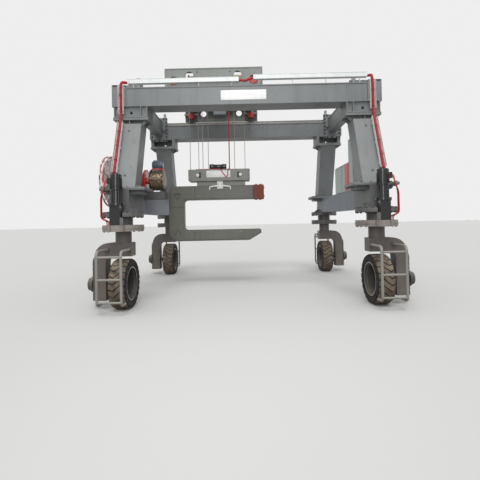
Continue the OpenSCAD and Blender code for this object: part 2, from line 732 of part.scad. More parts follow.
// Down a leg's front face: s along it from the leg's top, h off it
function on_face(s, h) = [head_y + leg_y / 2 + s * sin(lean) + h * cos(lean),
                          leg_top - s * cos(lean) + h * sin(lean)];
module cable_trays() color("white") {
  tray_run(left_tray[0], left_tray[1], left_tray_z);
  tray_run(right_tray[0], right_tray[1], right_tray_z);
  for (side = [-1, 1]) mirror([side < 0 ? 1 : 0, 0, 0]) mirror([0, 1, 0]) translate([drop_x, 0, 0]) {
    translate([0, girder_out, drop_low]) linear_extrude(drop_top - drop_low)
      channel(drop_w, drop_d, tray_t);
    translate([0, head_y + leg_y / 2, leg_top]) rotate([lean, 0, 0]) {
      translate([0, slope_gap, -slope_top - slope_len]) linear_extrude(slope_len)
        channel(drop_w, drop_d, tray_t);
      for (s = [0.1, 0.5, 0.9])
        span([-drop_w / 2 + 8, 0, -slope_top - s * slope_len - 20],
             [leg_x + leg_w / 2 - drop_x - 4, slope_gap + 1, -slope_top - s * slope_len + 20]);
    }
  }
}

// Red cable bundles in the trays, down to the steering motors, and across the middle
bundle_d = 66;
bundle_bend = 44;
bundle_h = tray_t + lying(bundle_d);
motor_cable_d = 24;
motor_cable_bend = 40;
cable_out = 330;
cable_step = 32;
function drop_point(s) = concat([drop_x], on_face(s, slope_gap + bundle_h));
module drop_bundle(x0, z) {
  y1 = girder_out + bundle_h;
  tip = slope_top + slope_len + 30;
  far_x = track / 2 + cable_out;
  motor_line = wheel_base / 2 + motor_y;
  mirror([0, 1, 0]) {
    cable([[x0, tray_y, z], [x0 + 120, tray_y, z], [drop_x - 20, y1, z - 20],
           [drop_x, y1, drop_top - 60], [drop_x, y1, drop_low], drop_point(slope_top), drop_point(tip)],
          bundle_d, bundle_bend, 16);
    for (i = [0, 1, 2]) let (y = motor_line - 60 - cable_step * i)
      cable([drop_point(tip + seat) + [cable_step * (i - 1), 0, 0],
             drop_point(tip + 90) + [cable_step * (i - 1), 0, 0],
             [far_x - 70 + cable_step * i, y - 150, leg_z + 150],
             [far_x, y, sill_top - 150], [far_x, y, disc_z - 30],
             [far_x - 120, y - cable_step * i, gear_top + 80],
             [far_x - 120, y - cable_step * i, gear_top + seat]], motor_cable_d, motor_cable_bend, 10);
  }
}
module cable_bundles() color("firebrick") {
  z_left = left_tray_z + bundle_h;
  z_right = right_tray_z + bundle_h;
  mirror([1, 0, 0]) drop_bundle(-left_tray[0] - 60, z_left);
  drop_bundle(right_tray[1] - 60, z_right);
  cable([for (p = [[left_tray[1] - 60, z_left], [left_tray[1] + 60, z_left],
                   [left_tray[1] + 165, z_left - 16], [right_tray[0] - 115, z_right - 24],
                   [right_tray[0] - 50, z_right], [right_tray[0] + 140, z_right]])
         [p[0], -tray_y, p[1]]], bundle_d, bundle_bend, 16);
}

// Pedestal with the reel's bearing on the left sill, and the drive's base on the sill's side
stand_x = -120;
stand_w = 180;
base_x = [sill_w / 2, 630];
base_z = sill_top - 120;
base_h = 170;
module reel_axis() translate([-leg_x, -reel_y, reel_z]) children();
module reel_stand() color("dimgray") difference() {
  union() {
    reel_axis() rod_x(220, stand_x - stand_w / 2, stand_x + stand_w / 2);
    translate([-leg_x, -reel_y, 0]) {
      translate([stand_x, 0, 0]) slab_x(stand_w - 40) polygon([
        [-150, sill_top + 24], [150, sill_top + 24], [110, reel_z], [-110, reel_z]]);
      span([-sill_w / 2, -180, sill_top], [stand_x + stand_w / 2, 180, sill_top + 24]);
      span([base_x[0], -180, base_z], [base_x[1], 180, base_z + base_h]);
      for (x = [base_x[0] + 60, base_x[1] - 90])
        span([x, -100, base_z + base_h - 1], [x + 30, 100, reel_z - coupling_d / 2 - seat]);
    }
  }
  reel_axis() rod_x(reel_shaft_d + 2 * seat, stand_x - stand_w, stand_x + stand_w);
}

// Red drive housing: a cone and a disc on the reel's axis, and the shaft to the coupling
drive_x = [-26, 144, 186, 270];
module reel_drive() color("firebrick") reel_axis() difference() {
  rotate([0, 90, 0]) rotate_extrude() polygon([
    [0, drive_x[0]], [100, drive_x[0]], [drive_disc_d / 2 - 30, drive_x[1]],
    [drive_disc_d / 2, drive_x[1]], [drive_disc_d / 2, drive_x[2]], [70, drive_x[2]],
    [70, drive_x[3] - seat], [0, drive_x[3] - seat]]);
  rod_x(reel_shaft_d + 2 * seat, drive_x[0] - 1, drive_x[0] + 60);
}

// Magnetic coupling: a finned drum in a cage of round bar
fin_count = 9;
cage_d = 22;
module reel_coupling() color("saddlebrown") reel_axis() {
  x0 = drive_x[3];
  pitch = coupling_l / fin_count;
  rotate([0, 90, 0]) rotate_extrude() polygon(concat(
    [[0, x0], [coupling_d / 2 - 26, x0]],
    [for (i = [0:fin_count - 1], p = [[-26, 0.2], [0, 0.3], [0, 0.7], [-26, 0.8]])
      [coupling_d / 2 + p[0], x0 + (i + p[1]) * pitch]],
    [[coupling_d / 2 - 26, x0 + coupling_l], [0, x0 + coupling_l]]));
  for (a = [30:60:330]) rotate([a, 0, 0]) translate([0, 0, coupling_d / 2 + cage_d])
    rod_x(cage_d, x0 + 10, x0 + coupling_l - 10);
  for (x = [x0 + 10, x0 + coupling_l - 30]) difference() {
    rod_x(coupling_d + 4 * cage_d, x, x + 20);
    rod_x(coupling_d - 60, x - 1, x + 21);
  }
}

// Reel motor on a saddle over the coupling
motor_x = [drive_x[3] + 40, drive_x[3] + 300];
module reel_motor() color("slategray") reel_axis() {
  z0 = coupling_d / 2 + cage_d * 1.5 + seat;
  span([motor_x[0], -110, z0], [motor_x[1], 110, z0 + 22]);
  translate([0, 0, z0 + 110]) rod_x(180, motor_x[0] + 10, motor_x[1] - 60);
  translate([0, 0, z0 + 110]) rod_x(150, motor_x[1] - 60, motor_x[1]);
  span([motor_x[0] + 30, -70, z0 + 1], [motor_x[1] - 90, 70, z0 + 40]);
  span([motor_x[0] + 40, -60, z0 + 150], [motor_x[0] + 150, 60, z0 + 226]);
}

// Cable reel outside the left sill: two spoked frames, the hub and the wound cable
reel_in = 630;
reel_bar = 26;
reel_hub_d = 300;
spoke_count = 10;
module cable_reel() color("white") reel_axis() {
  x0 = -reel_in - reel_w;
  for (x = [x0, -reel_in - reel_bar]) {
    difference() {
      rod_x(reel_d, x, x + reel_bar);
      rod_x(reel_d - 2 * reel_bar, x - 1, x + reel_bar + 1);
    }
    for (a = [0:360 / spoke_count:359]) rotate([a, 0, 0])
      span([x, -reel_bar / 2, reel_hub_d / 2 - 10], [x + reel_bar, reel_bar / 2, reel_d / 2 - 10]);
  }
  rod_x(reel_hub_d, x0, -reel_in);
  rod_x(reel_d - 150, x0 + reel_bar - 1, -reel_in - reel_bar + 1);
  rod_x(reel_hub_d * 0.6, x0 - 10, x0);
  rod_x(reel_shaft_d, -reel_in - 1, drive_x[0] + 55);
}

// Low and tall electrical cabinets on the right sill, behind the front leg
cabinet_foot = 30;
tall_front = 1500;
door_t = 12;
door_edge = 30;
module cabinet(x0, y0, y1, h, doors) {
  x1 = x0 + cabinet_x;
  w = (y1 - y0) / doors;
  span([x0, y0, sill_top], [x1 - door_t, y1, sill_top + h + cabinet_foot]);
  for (i = [0:doors - 1])
    span([x1 - door_t - 1, y0 + i * w + door_edge / 2, sill_top + cabinet_foot + door_edge / 2],
         [x1, y0 + (i + 1) * w - door_edge / 2, sill_top + h + cabinet_foot - door_edge]);
}
module electrical_cabinets() color("lightgray") {
  x0 = leg_x - sill_w / 2 - 10;
  y1 = -tall_front + tall_l;
  cabinet(x0, -tall_front, y1, tall_h, 1);
  cabinet(x0, y1, y1 + low_l, low_h, 2);
}

// Trolley side: an outer panel with wheel holes, and the axle brackets behind it
panel_y = rail_y + 92;
panel_z = rail_top + 36;
panel_top = panel_z + panel_h;
wheel_z = rail_top + trolley_wheel_d / 2;
panel_flange = 240;
panel_rim = 26;
axle_d = 70;
bracket_t = 30;
bracket_y = rail_y - 70 - bracket_t;
bar = [420, 46];
module axle_bracket() difference() {
  union() {
    span([-90, bracket_y, wheel_z - 60], [90, bracket_y + bracket_t, panel_top - panel_t]);
    span([-bar[0] / 2, bracket_y, wheel_z + 30], [bar[0] / 2, bracket_y + bracket_t, wheel_z + 30 + bar[1]]);
  }
  translate([0, bracket_y + bracket_t + 1, wheel_z]) rotate([90, 0, 0])
    cylinder(d = axle_d + 2 * seat, h = bracket_t + 2);
}
module side_panel(end) color("gray") translate([trolley_x, 0, 0]) mirror([0, end < 0 ? 1 : 0, 0]) {
  difference() {
    union() {
      span([-panel_l / 2, panel_y - panel_t, panel_z], [panel_l / 2, panel_y, panel_top]);
      span([-panel_l / 2, panel_y - panel_flange, panel_top - panel_t], [panel_l / 2, panel_y, panel_top]);
      span([-panel_l / 2, panel_y - 1, panel_top - panel_rim], [panel_l / 2, panel_y + ring_t, panel_top]);
      for (x = [-1, 1]) {
        translate([x * (panel_l / 2 - panel_rim / 2), panel_y + ring_t / 2, 0])
          post([panel_rim, ring_t + 1], panel_z, panel_h);
        translate([x * panel_hole_gap / 2, panel_y + ring_t, panel_z + panel_hole_z])
          rotate([90, 0, 0]) cylinder(d = panel_hole_d + 44, h = ring_t + 1);
      }
    }
    for (x = [-1, 1]) {
      translate([x * panel_hole_gap / 2, panel_y + ring_t + 1, panel_z + panel_hole_z])
        rotate([90, 0, 0]) cylinder(d = panel_hole_d, h = panel_t + ring_t + 2);
      translate([x * trolley_base / 2, panel_y + 1, wheel_z]) rotate([90, 0, 0])
        cylinder(d = hub_hole_d, h = panel_t + 2);
    }
  }
  for (x = [-1, 1]) translate([x * trolley_base / 2, 0, 0]) axle_bracket();
}

// Trolley frame: cross beams between the sides, deck beams and the drum's pedestals
cross_x = drum_l / 2 + 90;
cross_w = 140;
cross_h = 170;
drum_z = panel_top + 230;
deck = panel_top - panel_t;
deck_y = 560;
deck_w = 120;
deck_gap = 300;
pedestal_t = 40;
module trolley_frame() {
  color("gray") translate([trolley_x, 0, 0]) {
    for (x = [-1, 1]) translate([x * cross_x, 0, 0]) {
      span([-cross_w / 2, -bracket_y, deck - cross_h], [cross_w / 2, bracket_y, deck]);
      difference() {
        slab_x(pedestal_t) polygon(concat(
          [[-160, deck - 1], [160, deck - 1]], arc([0, drum_z], 100, 0, 180)));
        translate([0, 0, drum_z]) rod_x(axle_d + 2 * seat, -pedestal_t, pedestal_t);
      }
    }
    for (i = [0, 1]) translate([0, deck_y + i * deck_gap, 0])
      span([-cross_x, -deck_w / 2, deck - cross_h / 2], [cross_x, deck_w / 2, deck]);
  }
}

// Pale control box that hangs inside the trolley's rear side
box_x = [-225, 155];
box_z = [wheel_z + 17, wheel_z + 187];
module trolley_box() color("lightsteelblue") translate([trolley_x, 0, 0]) {
  y1 = panel_y - panel_flange + 60;
  span([box_x[0], y1 - 130, box_z[0]], [box_x[1], y1, box_z[1]]);
  for (x = [box_x[0] + 30, box_x[1] - 70]) span([x, y1 - 20, box_z[1] - 1], [x + 40, y1, deck]);
}

// Hoist motor on its feet and the gear case beside it, on the deck beams
fan_cover = 70;
module hoist_gear() {
  color("darkslategray") translate([trolley_x, deck_y + deck_gap / 2, 0]) {
    translate([0, 0, deck + 220]) {
      rod_x(300, -301, 320 - fan_cover);
      rod_x(270, 320 - fan_cover, 320);
    }
    span([-260, -deck_gap / 2, deck], [280, deck_gap / 2, deck + 120]);
    translate([-460, 0, 0]) slab_x(320) polygon(concat(
      [[-230, deck], [230, deck]], arc([0, deck + 220], 230, 0, 180, 12)));
  }
}

// Rope drum with its rope grooves, flanges and axle, above the trolley frame
rope_turns = 14;
turn_pitch = rope_d + 3;
module rope_drum() {
  r = drum_d / 2;
  half = drum_l / 2;
  start = half - 60 - rope_turns * turn_pitch;
  color("dimgray") translate([trolley_x, 0, drum_z]) {
    rotate([0, 90, 0]) rotate_extrude() polygon(concat(
      [[0, -half - 130], [axle_d / 2, -half - 130], [axle_d / 2, -half - 10], [r + 40, -half - 10],
       [r + 40, -half + 10], [r, -half + 10]],
      [for (i = [0:rope_turns - 1], p = [[0, 0], [-4, 0.25], [-4, 0.75], [0, 1]])
        [r + p[0], -start - (rope_turns - i - p[1] * 0.98) * turn_pitch]],
      [for (i = [0:rope_turns - 1], p = [[0, 0], [-4, 0.25], [-4, 0.75], [0, 1]])
        [r + p[0], start + (i + p[1] * 0.98) * turn_pitch]],
      [[r, half - 10], [r + 40, half - 10], [r + 40, half + 10], [axle_d / 2, half + 10],
       [axle_d / 2, half + 130], [0, half + 130]]));
  }
}

// A pair of flanged trolley wheels, one on each rail, with their axles and end caps
cap_d = 176;
cap_gap = 12;
module trolley_wheels(side) {
  r = trolley_wheel_d / 2;
  inner = bracket_y - rail_y - cap_gap;
  color("firebrick") translate([trolley_x + side * trolley_base / 2, 0, wheel_z])
    for (end = [-1, 1]) mirror([0, end < 0 ? 1 : 0, 0])
      translate([0, rail_y, 0]) rotate([-90, 0, 0]) rotate_extrude() polygon([
        [0, inner - 34], [cap_d / 2 - 10, inner - 34], [cap_d / 2, inner - 24], [cap_d / 2, inner],
        [axle_d / 2, inner], [axle_d / 2, -40], [r + 20, -40],
        [r + 20, -28], [r - 0.5, -26], [r - 0.5, 26], [r + 20, 28],
        [r + 20, 40], [hub_hole_d / 2 - 14, 40], [hub_hole_d / 2 - 22, 66], [0, 66]]);
}

// Rope falls between the drum and the hook block, and the block's cable beside them
rope_x = [-758, -577, -422, -310, 425, 705];
rope_y = drum_d / 2 + rope_d / 2 + seat;
lead_d = 24;
lead_x = 283;
block_top = block_z + block_h;
rope_top = drum_z;
module fall(x, y, d)
  translate([x, y, block_top + seat]) cylinder(d = d, h = rope_top - block_top - seat, $fn = 16);
module hoist_ropes() {
  color("dimgray") translate([trolley_x, 0, 0]) {
    for (i = [0:len(rope_x) - 1]) fall(rope_x[i], (i % 2 == 0 ? -1 : 1) * rope_y, rope_d);
    fall(lead_x, -rope_y - (lead_d - rope_d) / 2, lead_d);
  }
}

// Long hook block with sheave pins, keeper slots, the beam under it and the motor on it
block_end_r = 24;
pin_x = 570;
pin_d = 88;
slot = [46, 150, 16];
beam_l = 1300;
beam_w = 220;
beam_x = 45;
block_motor = [-262, 189];
module hook_block() {
  w = block_l / 2;
  r = block_end_r;
  motor_z = block_top + 86;
  color("dimgray") translate([trolley_x, 0, 0]) {
    difference() {
      slab_y(block_w) polygon(concat(
        arc([w - r, block_z + r], r, -90, 0), arc([w - r, block_top - r], r, 0, 90),
        arc([-w + r, block_top - r], r, 90, 180), arc([-w + r, block_z + r], r, 180, 270)));
      for (x = [-1, 1], y = [-1, 1]) translate([x * (pin_x - 62), y * block_w / 2, 0])
        post([slot[0], 2 * slot[2]], block_z + block_h / 2 - slot[1] / 2, slot[1]);
    }
    for (x = [-1, 1]) translate([x * pin_x, block_w / 2 + 20, block_z + block_h / 2])
      rotate([90, 0, 0]) cylinder(d = pin_d, h = block_w + 40);
    translate([beam_x, 0, 0]) post([beam_l, beam_w], arm_top + seat, block_z - arm_top - seat + 1);
    translate([0, 0, motor_z]) {
      rod_x(112, block_motor[0] + 80, block_motor[1] - 80);
      rod_x(150, block_motor[0], block_motor[0] + 120);
      rod_x(150, block_motor[1] - 120, block_motor[1]);
    }
    for (x = [block_motor[0] + 40, block_motor[1] - 80]) span([x, -60, block_top - 1], [x + 40, 60, motor_z]);
  }
}

// Red cable that lies in loops on the hook block and over its front edge
hook_cable_d = 22;
hook_cable_bend = 20;
hook_cable_off = 4;
module hook_cable() {
  z0 = block_top + lying(hook_cable_d);
  y0 = -block_w / 2 - lying(hook_cable_d) - hook_cable_off;
  edge_z = z0 + hook_cable_off;
  color("firebrick") translate([trolley_x, 0, 0])
    cable([[lead_x - 34, -100, z0], [lead_x - 34, y0, edge_z], [lead_x - 56, y0, block_z + 140],
           [lead_x - 96, y0, block_z + 92], [lead_x - 140, y0, block_z + 150],
           [lead_x - 250, y0, edge_z], [lead_x - 310, -140, z0], [lead_x - 430, -118, z0],
           [lead_x - 640, -140, z0], [lead_x - 900, -120, z0]], hook_cable_d, hook_cable_bend, 10);
}

// White bracket over the C-hook's upper arm: a centre block with two bent side arms
bracket_x = 18;
bracket_w = 160;
bracket_side = 292;
bracket_deep = 42;
arm_top = block_z - 120;
module hook_bracket() color("white") translate([trolley_x + bracket_x, 0, 0])
  for (y = [-1, 1]) mirror([0, y < 0 ? 1 : 0, 0]) translate([0, hook_t / 2 + seat + bracket_deep / 2, 0]) {
    post([bracket_w, bracket_deep], arm_top - 88, 160);
    span([-bracket_w / 2, -bracket_deep / 2 - hook_t / 2 + beam_w / 2, arm_top + seat],
         [bracket_w / 2, 0, block_z - seat]);
    slab_y(bracket_deep - 14) polygon([
      [-bracket_side, arm_top - 112], [-bracket_side + 26, arm_top - 112], [-bracket_side + 30, arm_top - 46],
      [0, arm_top - 20], [bracket_side - 30, arm_top - 46], [bracket_side - 26, arm_top - 112],
      [bracket_side, arm_top - 112], [bracket_side, arm_top - 40], [bracket_side - 30, arm_top - 16],
      [0, arm_top + 26], [-bracket_side + 30, arm_top - 16], [-bracket_side, arm_top - 40]]);
  }

// C-hook: a core plate with its back, upper arm and tapered lower arm, and set-in cheeks
hook_low = arm_top - hook_arm_h - hook_throat - hook_tongue_h;
hook_top_r = 160;
hook_low_r = 250;
throat_r = 90;
arm_end = hook_tip - 205;
seam = 9;
hook_rib = [22, 12];
function hook_outline(g) =
  let (x0 = -hook_back + g, x1 = -hook_back + hook_back_w - g, top = arm_top - g, low = hook_low + g,
       zt = arm_top - hook_arm_h + g, zb = arm_top - hook_arm_h - hook_throat - g)
  concat(
    [[arm_end - g, top]],
    arc([x0 - g + hook_top_r, top + g - hook_top_r], hook_top_r - g, 90, 180),
    arc([x0 - g + hook_low_r, low - g + hook_low_r], hook_low_r - g, 180, 270),
    [[hook_tip - 320, low], [hook_tip - g, hook_low + 190 + g * 0.4], [hook_tip - g, zb - 30],
     [hook_tip - 40 - g * 0.4, zb]],
    arc([x1 + g + throat_r, zb + g + throat_r], throat_r + g, 270, 180),
    arc([x1 + g + throat_r, zt - g - throat_r], throat_r + g, 180, 90),
    [[arm_end - g, zt]]);
module c_hook() {
  mid = arm_top - hook_arm_h - hook_throat * 0.24;
  color("darkslategray") translate([trolley_x, 0, 0]) {
    slab_y(hook_t - 2 * cheek_t) polygon(hook_outline(0));
    difference() {
      slab_y(hook_t) polygon(hook_outline(cheek_in));
      for (y = [-1, 1]) translate([0, y * (hook_t / 2 - cheek_t / 2), 0]) {
        translate([-hook_back + hook_back_w + 290, 0, 0])
          post([seam, cheek_t + 1], hook_low - 1, arm_top - hook_low);
        translate([-hook_back, 0, 0]) post([hook_back_w * 2.4, cheek_t + 1], mid, seam);
      }
    }
    for (x = [-190, 185]) translate([x, 0, 0])
      post([hook_rib[0], hook_t + 2 * hook_rib[1]], arm_top - hook_arm_h + cheek_in,
           hook_arm_h - cheek_in - 120);
  }
}

// Counterweight: five cast plates of two heights at the end of the upper arm
weight_plates = 5;
plate_step = 16;
module counterweight() color("sienna") translate([trolley_x + arm_end, 0, arm_top - hook_arm_h]) {
  t = weight_l / weight_plates;
  for (i = [0:weight_plates - 1]) {
    g = (i % 2) * plate_step;
    span([i * t, -hook_t / 2 - 20 - g, -g], [(i + 1) * t, hook_t / 2 + 20 + g, hook_arm_h + g]);
  }
}

girder(-1);  // front_girder
girder(1);  // rear_girder
tie_beams();
rails();
quarters() leg();  // legs
sill(-1);  // left_sill
sill(1);  // right_sill
cable_trays();
cable_bundles();
reel_stand();
reel_drive();
reel_coupling();
reel_motor();
cable_reel();
electrical_cabinets();
corners() steering_gear();  // steering_gears
corners() steering_motor();  // steering_motors
corner(-1, -1) fork();  // front_left_fork
corner(1, -1) fork();  // front_right_fork
corner(-1, 1) fork();  // rear_left_fork
corner(1, 1) fork();  // rear_right_fork
corner(-1, -1) guard();  // front_left_guard
corner(1, -1) guard();  // front_right_guard
corner(-1, 1) guard();  // rear_left_guard
corner(1, 1) guard();  // rear_right_guard
corner(-1, -1) hub_drive();  // front_left_hub_drive
corner(1, -1) hub_drive();  // front_right_hub_drive
corner(-1, 1) hub_drive();  // rear_left_hub_drive
corner(1, 1) hub_drive();  // rear_right_hub_drive
corner(-1, -1) rim();  // front_left_rim
corner(1, -1) rim();  // front_right_rim
corner(-1, 1) rim();  // rear_left_rim
corner(1, 1) rim();  // rear_right_rim
corner(-1, -1) tyre(1);  // front_left_tyre
corner(1, -1) tyre(-1);  // front_right_tyre
corner(-1, 1) tyre(-1);  // rear_left_tyre
corner(1, 1) tyre(1);  // rear_right_tyre
side_panel(-1);  // front_side_panel
side_panel(1);  // rear_side_panel
trolley_frame();
trolley_box();
hoist_gear();
rope_drum();
trolley_wheels(-1);  // left_trolley_wheels
trolley_wheels(1);  // right_trolley_wheels
hoist_ropes();
hook_block();
hook_cable();
hook_bracket();
c_hook();
counterweight();
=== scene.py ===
import math

import bmesh
import bpy
from mathutils import Matrix, Vector


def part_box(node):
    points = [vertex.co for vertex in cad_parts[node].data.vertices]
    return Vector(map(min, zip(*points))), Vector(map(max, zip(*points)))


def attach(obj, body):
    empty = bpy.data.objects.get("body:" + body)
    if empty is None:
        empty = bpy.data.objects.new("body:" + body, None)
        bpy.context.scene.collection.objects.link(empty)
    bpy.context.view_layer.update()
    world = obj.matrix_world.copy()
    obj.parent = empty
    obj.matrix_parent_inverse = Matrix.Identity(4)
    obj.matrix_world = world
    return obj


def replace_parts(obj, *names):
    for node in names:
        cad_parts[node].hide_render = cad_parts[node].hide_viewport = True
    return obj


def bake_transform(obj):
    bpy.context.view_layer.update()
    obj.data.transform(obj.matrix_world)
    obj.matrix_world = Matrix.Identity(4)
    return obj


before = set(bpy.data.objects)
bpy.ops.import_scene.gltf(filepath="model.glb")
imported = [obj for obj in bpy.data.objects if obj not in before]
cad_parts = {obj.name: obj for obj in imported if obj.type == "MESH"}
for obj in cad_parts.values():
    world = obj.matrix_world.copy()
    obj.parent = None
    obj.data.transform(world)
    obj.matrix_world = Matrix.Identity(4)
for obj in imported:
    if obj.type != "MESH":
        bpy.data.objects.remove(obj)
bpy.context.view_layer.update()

scene = bpy.context.scene

# Camera
# The view is from the front at eye height, a little left of the crane's middle, with a wide lens
# that points slightly up. Its values are fitted to corners of the crane that show in the view.
EYE = (-0.136, -9.515, 1.759)
YAW, PITCH, ROLL = (math.radians(angle) for angle in (0.446, 0.664, 1.167))
FOCAL_PX, FRAME_PX, CENTRE_ROW = 350, 480, 216
SENSOR_MM = 36


def placed(name, data):
    """A new object in the scene, at the origin."""
    thing = bpy.data.objects.new(name, data)
    scene.collection.objects.link(thing)
    return thing


camera = placed("camera", bpy.data.cameras.new("camera"))
forward = Vector((-math.sin(YAW) * math.cos(PITCH), math.cos(YAW) * math.cos(PITCH), math.sin(PITCH)))
level = Vector((math.cos(YAW), math.sin(YAW), 0))
upright = level.cross(forward)
right = math.cos(ROLL) * level - math.sin(ROLL) * upright
up = math.sin(ROLL) * level + math.cos(ROLL) * upright
camera.matrix_world = Matrix((right, up, -forward)).transposed().to_4x4()
camera.location = EYE
camera.data.sensor_width = SENSOR_MM
camera.data.lens = SENSOR_MM * FOCAL_PX / FRAME_PX
camera.data.shift_y = (CENTRE_ROW - FRAME_PX / 2) / FRAME_PX
scene.camera = camera
scene.view_settings.view_transform = "Standard"

# Floor, sky and lamps
# A plain floor that shows pale and sends back little light, as workshop concrete does. Soft light
# falls from above and in front, as through roof windows, and a tall lamp stands in for a window.
FLOOR_SIZE, FLOOR_ROUGH = 240, 0.9
FLOOR_SEEN, FLOOR_LIT = (0.60, 0.60, 0.59, 1), (0.24, 0.235, 0.225, 1)
SKY_TOP, SKY_LOW, SKY_SEEN = 0.88, 0.54, (0.86, 0.86, 0.86, 1)
SKY_BLEND = 0.9
SUN_POWER, SUN_WIDTH, SUN_FROM = 1.25, 24, (0.0, -0.6, 1.0)
WINDOW_POWER, WINDOW_W, WINDOW_H, WINDOW_SPREAD = 84, 2.4, 6.0, 100
WINDOW_AT, WINDOW_AIM = (-0.6, -9.5, 5.0), (0, 0, 3.0)


def put(tree, kind, wires, **settings):
    """Adds a shader node, with its settings, and links or sets the inputs that wires names."""
    node = tree.nodes.new("ShaderNode" + kind)
    for name, value in settings.items():
        setattr(node, name, value)
    for key, value in wires.items():
        if isinstance(value, bpy.types.NodeSocket):
            tree.links.new(value, node.inputs[key])
        else:
            node.inputs[key].default_value = value
    return node


def maths(tree, operation, *values):
    """A Math node on these values or sockets."""
    return put(tree, "Math", dict(enumerate(values)), operation=operation).outputs[0]


def mixed(tree, share, first, second):
    """A colour between first and second."""
    return put(tree, "Mix", {0: share, 6: first, 7: second}, data_type="RGBA").outputs[2]


def background(tree):
    """1 for rays that show the background, straight, in a reflection or through glass."""
    rays = put(tree, "LightPath", {}).outputs
    shown = maths(tree, "MAXIMUM", rays["Is Glossy Ray"], rays["Is Transmission Ray"])
    return maths(tree, "MAXIMUM", rays["Is Camera Ray"], shown)


def new_finish(name):
    """A material, and the tree that holds its shader nodes."""
    finish = bpy.data.materials.new(name)
    finish.use_nodes = True
    return finish, finish.node_tree


bpy.ops.mesh.primitive_plane_add(size=FLOOR_SIZE)
floor = bpy.context.object
floor.name = "floor"
floor_finish, tree = new_finish("pale_floor")
surface = tree.nodes["Principled BSDF"]
tree.links.new(mixed(tree, background(tree), FLOOR_LIT, FLOOR_SEEN), surface.inputs["Base Color"])
surface.inputs["Roughness"].default_value = FLOOR_ROUGH
floor.data.materials.append(floor_finish)

world = bpy.data.worlds.new("soft_sky")
scene.world = world
world.use_nodes = True
tree = world.node_tree
height = put(tree, "SeparateXYZ", {0: put(tree, "TexCoord", {}).outputs["Generated"]}).outputs["Z"]
bright = put(tree, "MapRange", {"Value": height, "From Min": 0.0, "From Max": SKY_BLEND,
                                "To Min": SKY_LOW, "To Max": SKY_TOP}).outputs[0]
grey = put(tree, "CombineColor", {0: bright, 1: bright, 2: bright}).outputs[0]
sky = mixed(tree, background(tree), grey, SKY_SEEN)
tree.links.new(sky, tree.nodes["Background"].inputs["Color"])

sun = placed("roof_light", bpy.data.lights.new("roof_light", "SUN"))
sun.data.energy = SUN_POWER
sun.data.angle = math.radians(SUN_WIDTH)
sun.rotation_euler = Vector(SUN_FROM).to_track_quat("Z", "Y").to_euler()

window = placed("front_window", bpy.data.lights.new("front_window", "AREA"))
window.data.energy, window.data.shape = WINDOW_POWER, "RECTANGLE"
window.data.size, window.data.size_y = WINDOW_W, WINDOW_H
window.data.spread = math.radians(WINDOW_SPREAD)
window.location = WINDOW_AT
window.visible_camera = False
window.rotation_euler = (Vector(WINDOW_AT) - Vector(WINDOW_AIM)).to_track_quat("Z", "Y").to_euler()

# Portal frame
# Two box girders, two tie beams, four leaning legs and two sills: welded steel boxes, bolted at
# flanges, in one semi-matt grey machine paint with dust on its tops and wear along its edges.
LEG_X, HEAD_Y, FOOT_Y = 2.570, 1.580, 2.146
TRACK, BASE = 2.600, 2.310
SILL_Z, SILL_TOP, LEG_Z, LEG_TOP, HEAD_Z = 1.950, 2.410, 2.470, 4.020, 4.080
GIRDER_Z, GIRDER_TOP, GIRDER_OUT = 4.320, 4.745, 1.820
PLATE_LIP = 0.012
QUARTERS = [(side, end) for side in (-1, 1) for end in (-1, 1)]
UP, DOWN = (0, 0, 1), (0, 0, -1)
FOOT_END_X, FOOT_END_Y = 0.41, (-0.28, -0.19, 0, 0.19, 0.28)
FOOT_SIDE_X, FOOT_SIDE_Y = (-0.3, -0.1, 0.1, 0.3), 0.285
HEAD_BOLT_X, HEAD_BOLT_Y = 0.33, (-0.2, 0, 0.2)
FOOT_BOLT, HEAD_BOLT = 0.024, 0.022
# How far out from each sill's middle its painted light, a lighter bluish tone, fades into the plain grey.
SILL_PAINTED_LIGHT_Y = (1.56, 1.46)


def srgb(red, green, blue):
    """A colour as a screen shows it, from 0 to 255 a channel, for a shader socket."""
    channels = [c / 255 for c in (red, green, blue)]
    return (*[c / 12.92 if c < 0.04045 else ((c + 0.055) / 1.055) ** 2.4 for c in channels], 1)


def new_group(name, inputs, outputs):
    """A shader node group with these named sockets, and its input and output nodes."""
    group = bpy.data.node_groups.new(name, "ShaderNodeTree")
    for way_name, sockets in (("INPUT", inputs), ("OUTPUT", outputs)):
        for title, kind in sockets:
            group.interface.new_socket(title, in_out=way_name, socket_type="NodeSocket" + kind)
    return group, group.nodes.new("NodeGroupInput"), group.nodes.new("NodeGroupOutput")


def ramp(tree, value, low, high):
    """0 below low and 1 above high, or the other way round where low is the larger."""
    return put(tree, "MapRange", {"Value": value, "From Min": low, "From Max": high}).outputs[0]


def noise(tree, vector, scale, detail=4.0, low=0.0, high=1.0):
    """Noise at this scale, stretched so that low and high become 0 and 1."""
    grain = put(tree, "TexNoise", {"Vector": vector, "Scale": scale, "Detail": detail})
    return ramp(tree, grain.outputs[0], low, high)


# The wear of a painted surface: patches and streaks in its colour, dust on what faces up and near
# the ground, and chips along its edges that show what is under the paint.
wear, entry, result = new_group(
    "painted_wear",
    [("Colour", "Color"), ("Under", "Color"), ("Dust", "Color"), ("Chips", "Float"),
     ("Dusty", "Float"), ("Streaks", "Float"), ("Patches", "Float"), ("Rough", "Float")],
    [("Colour", "Color"), ("Roughness", "Float"), ("Height", "Float")])
given = entry.outputs
place = put(wear, "TexCoord", {}).outputs["Object"]
patches = noise(wear, place, 1.1, 5.0, 0.3, 0.7)
long_way = put(wear, "Mapping", {"Vector": place, "Scale": (9.0, 9.0, 0.55)}).outputs[0]
streaks = noise(wear, long_way, 1.0, 5.0, 0.5, 0.78)
fine = noise(wear, place, 60.0, 3.0)
normal = put(wear, "NewGeometry", {}).outputs["Normal"]
rounded = put(wear, "Bevel", {"Radius": 0.018}, samples=4).outputs[0]
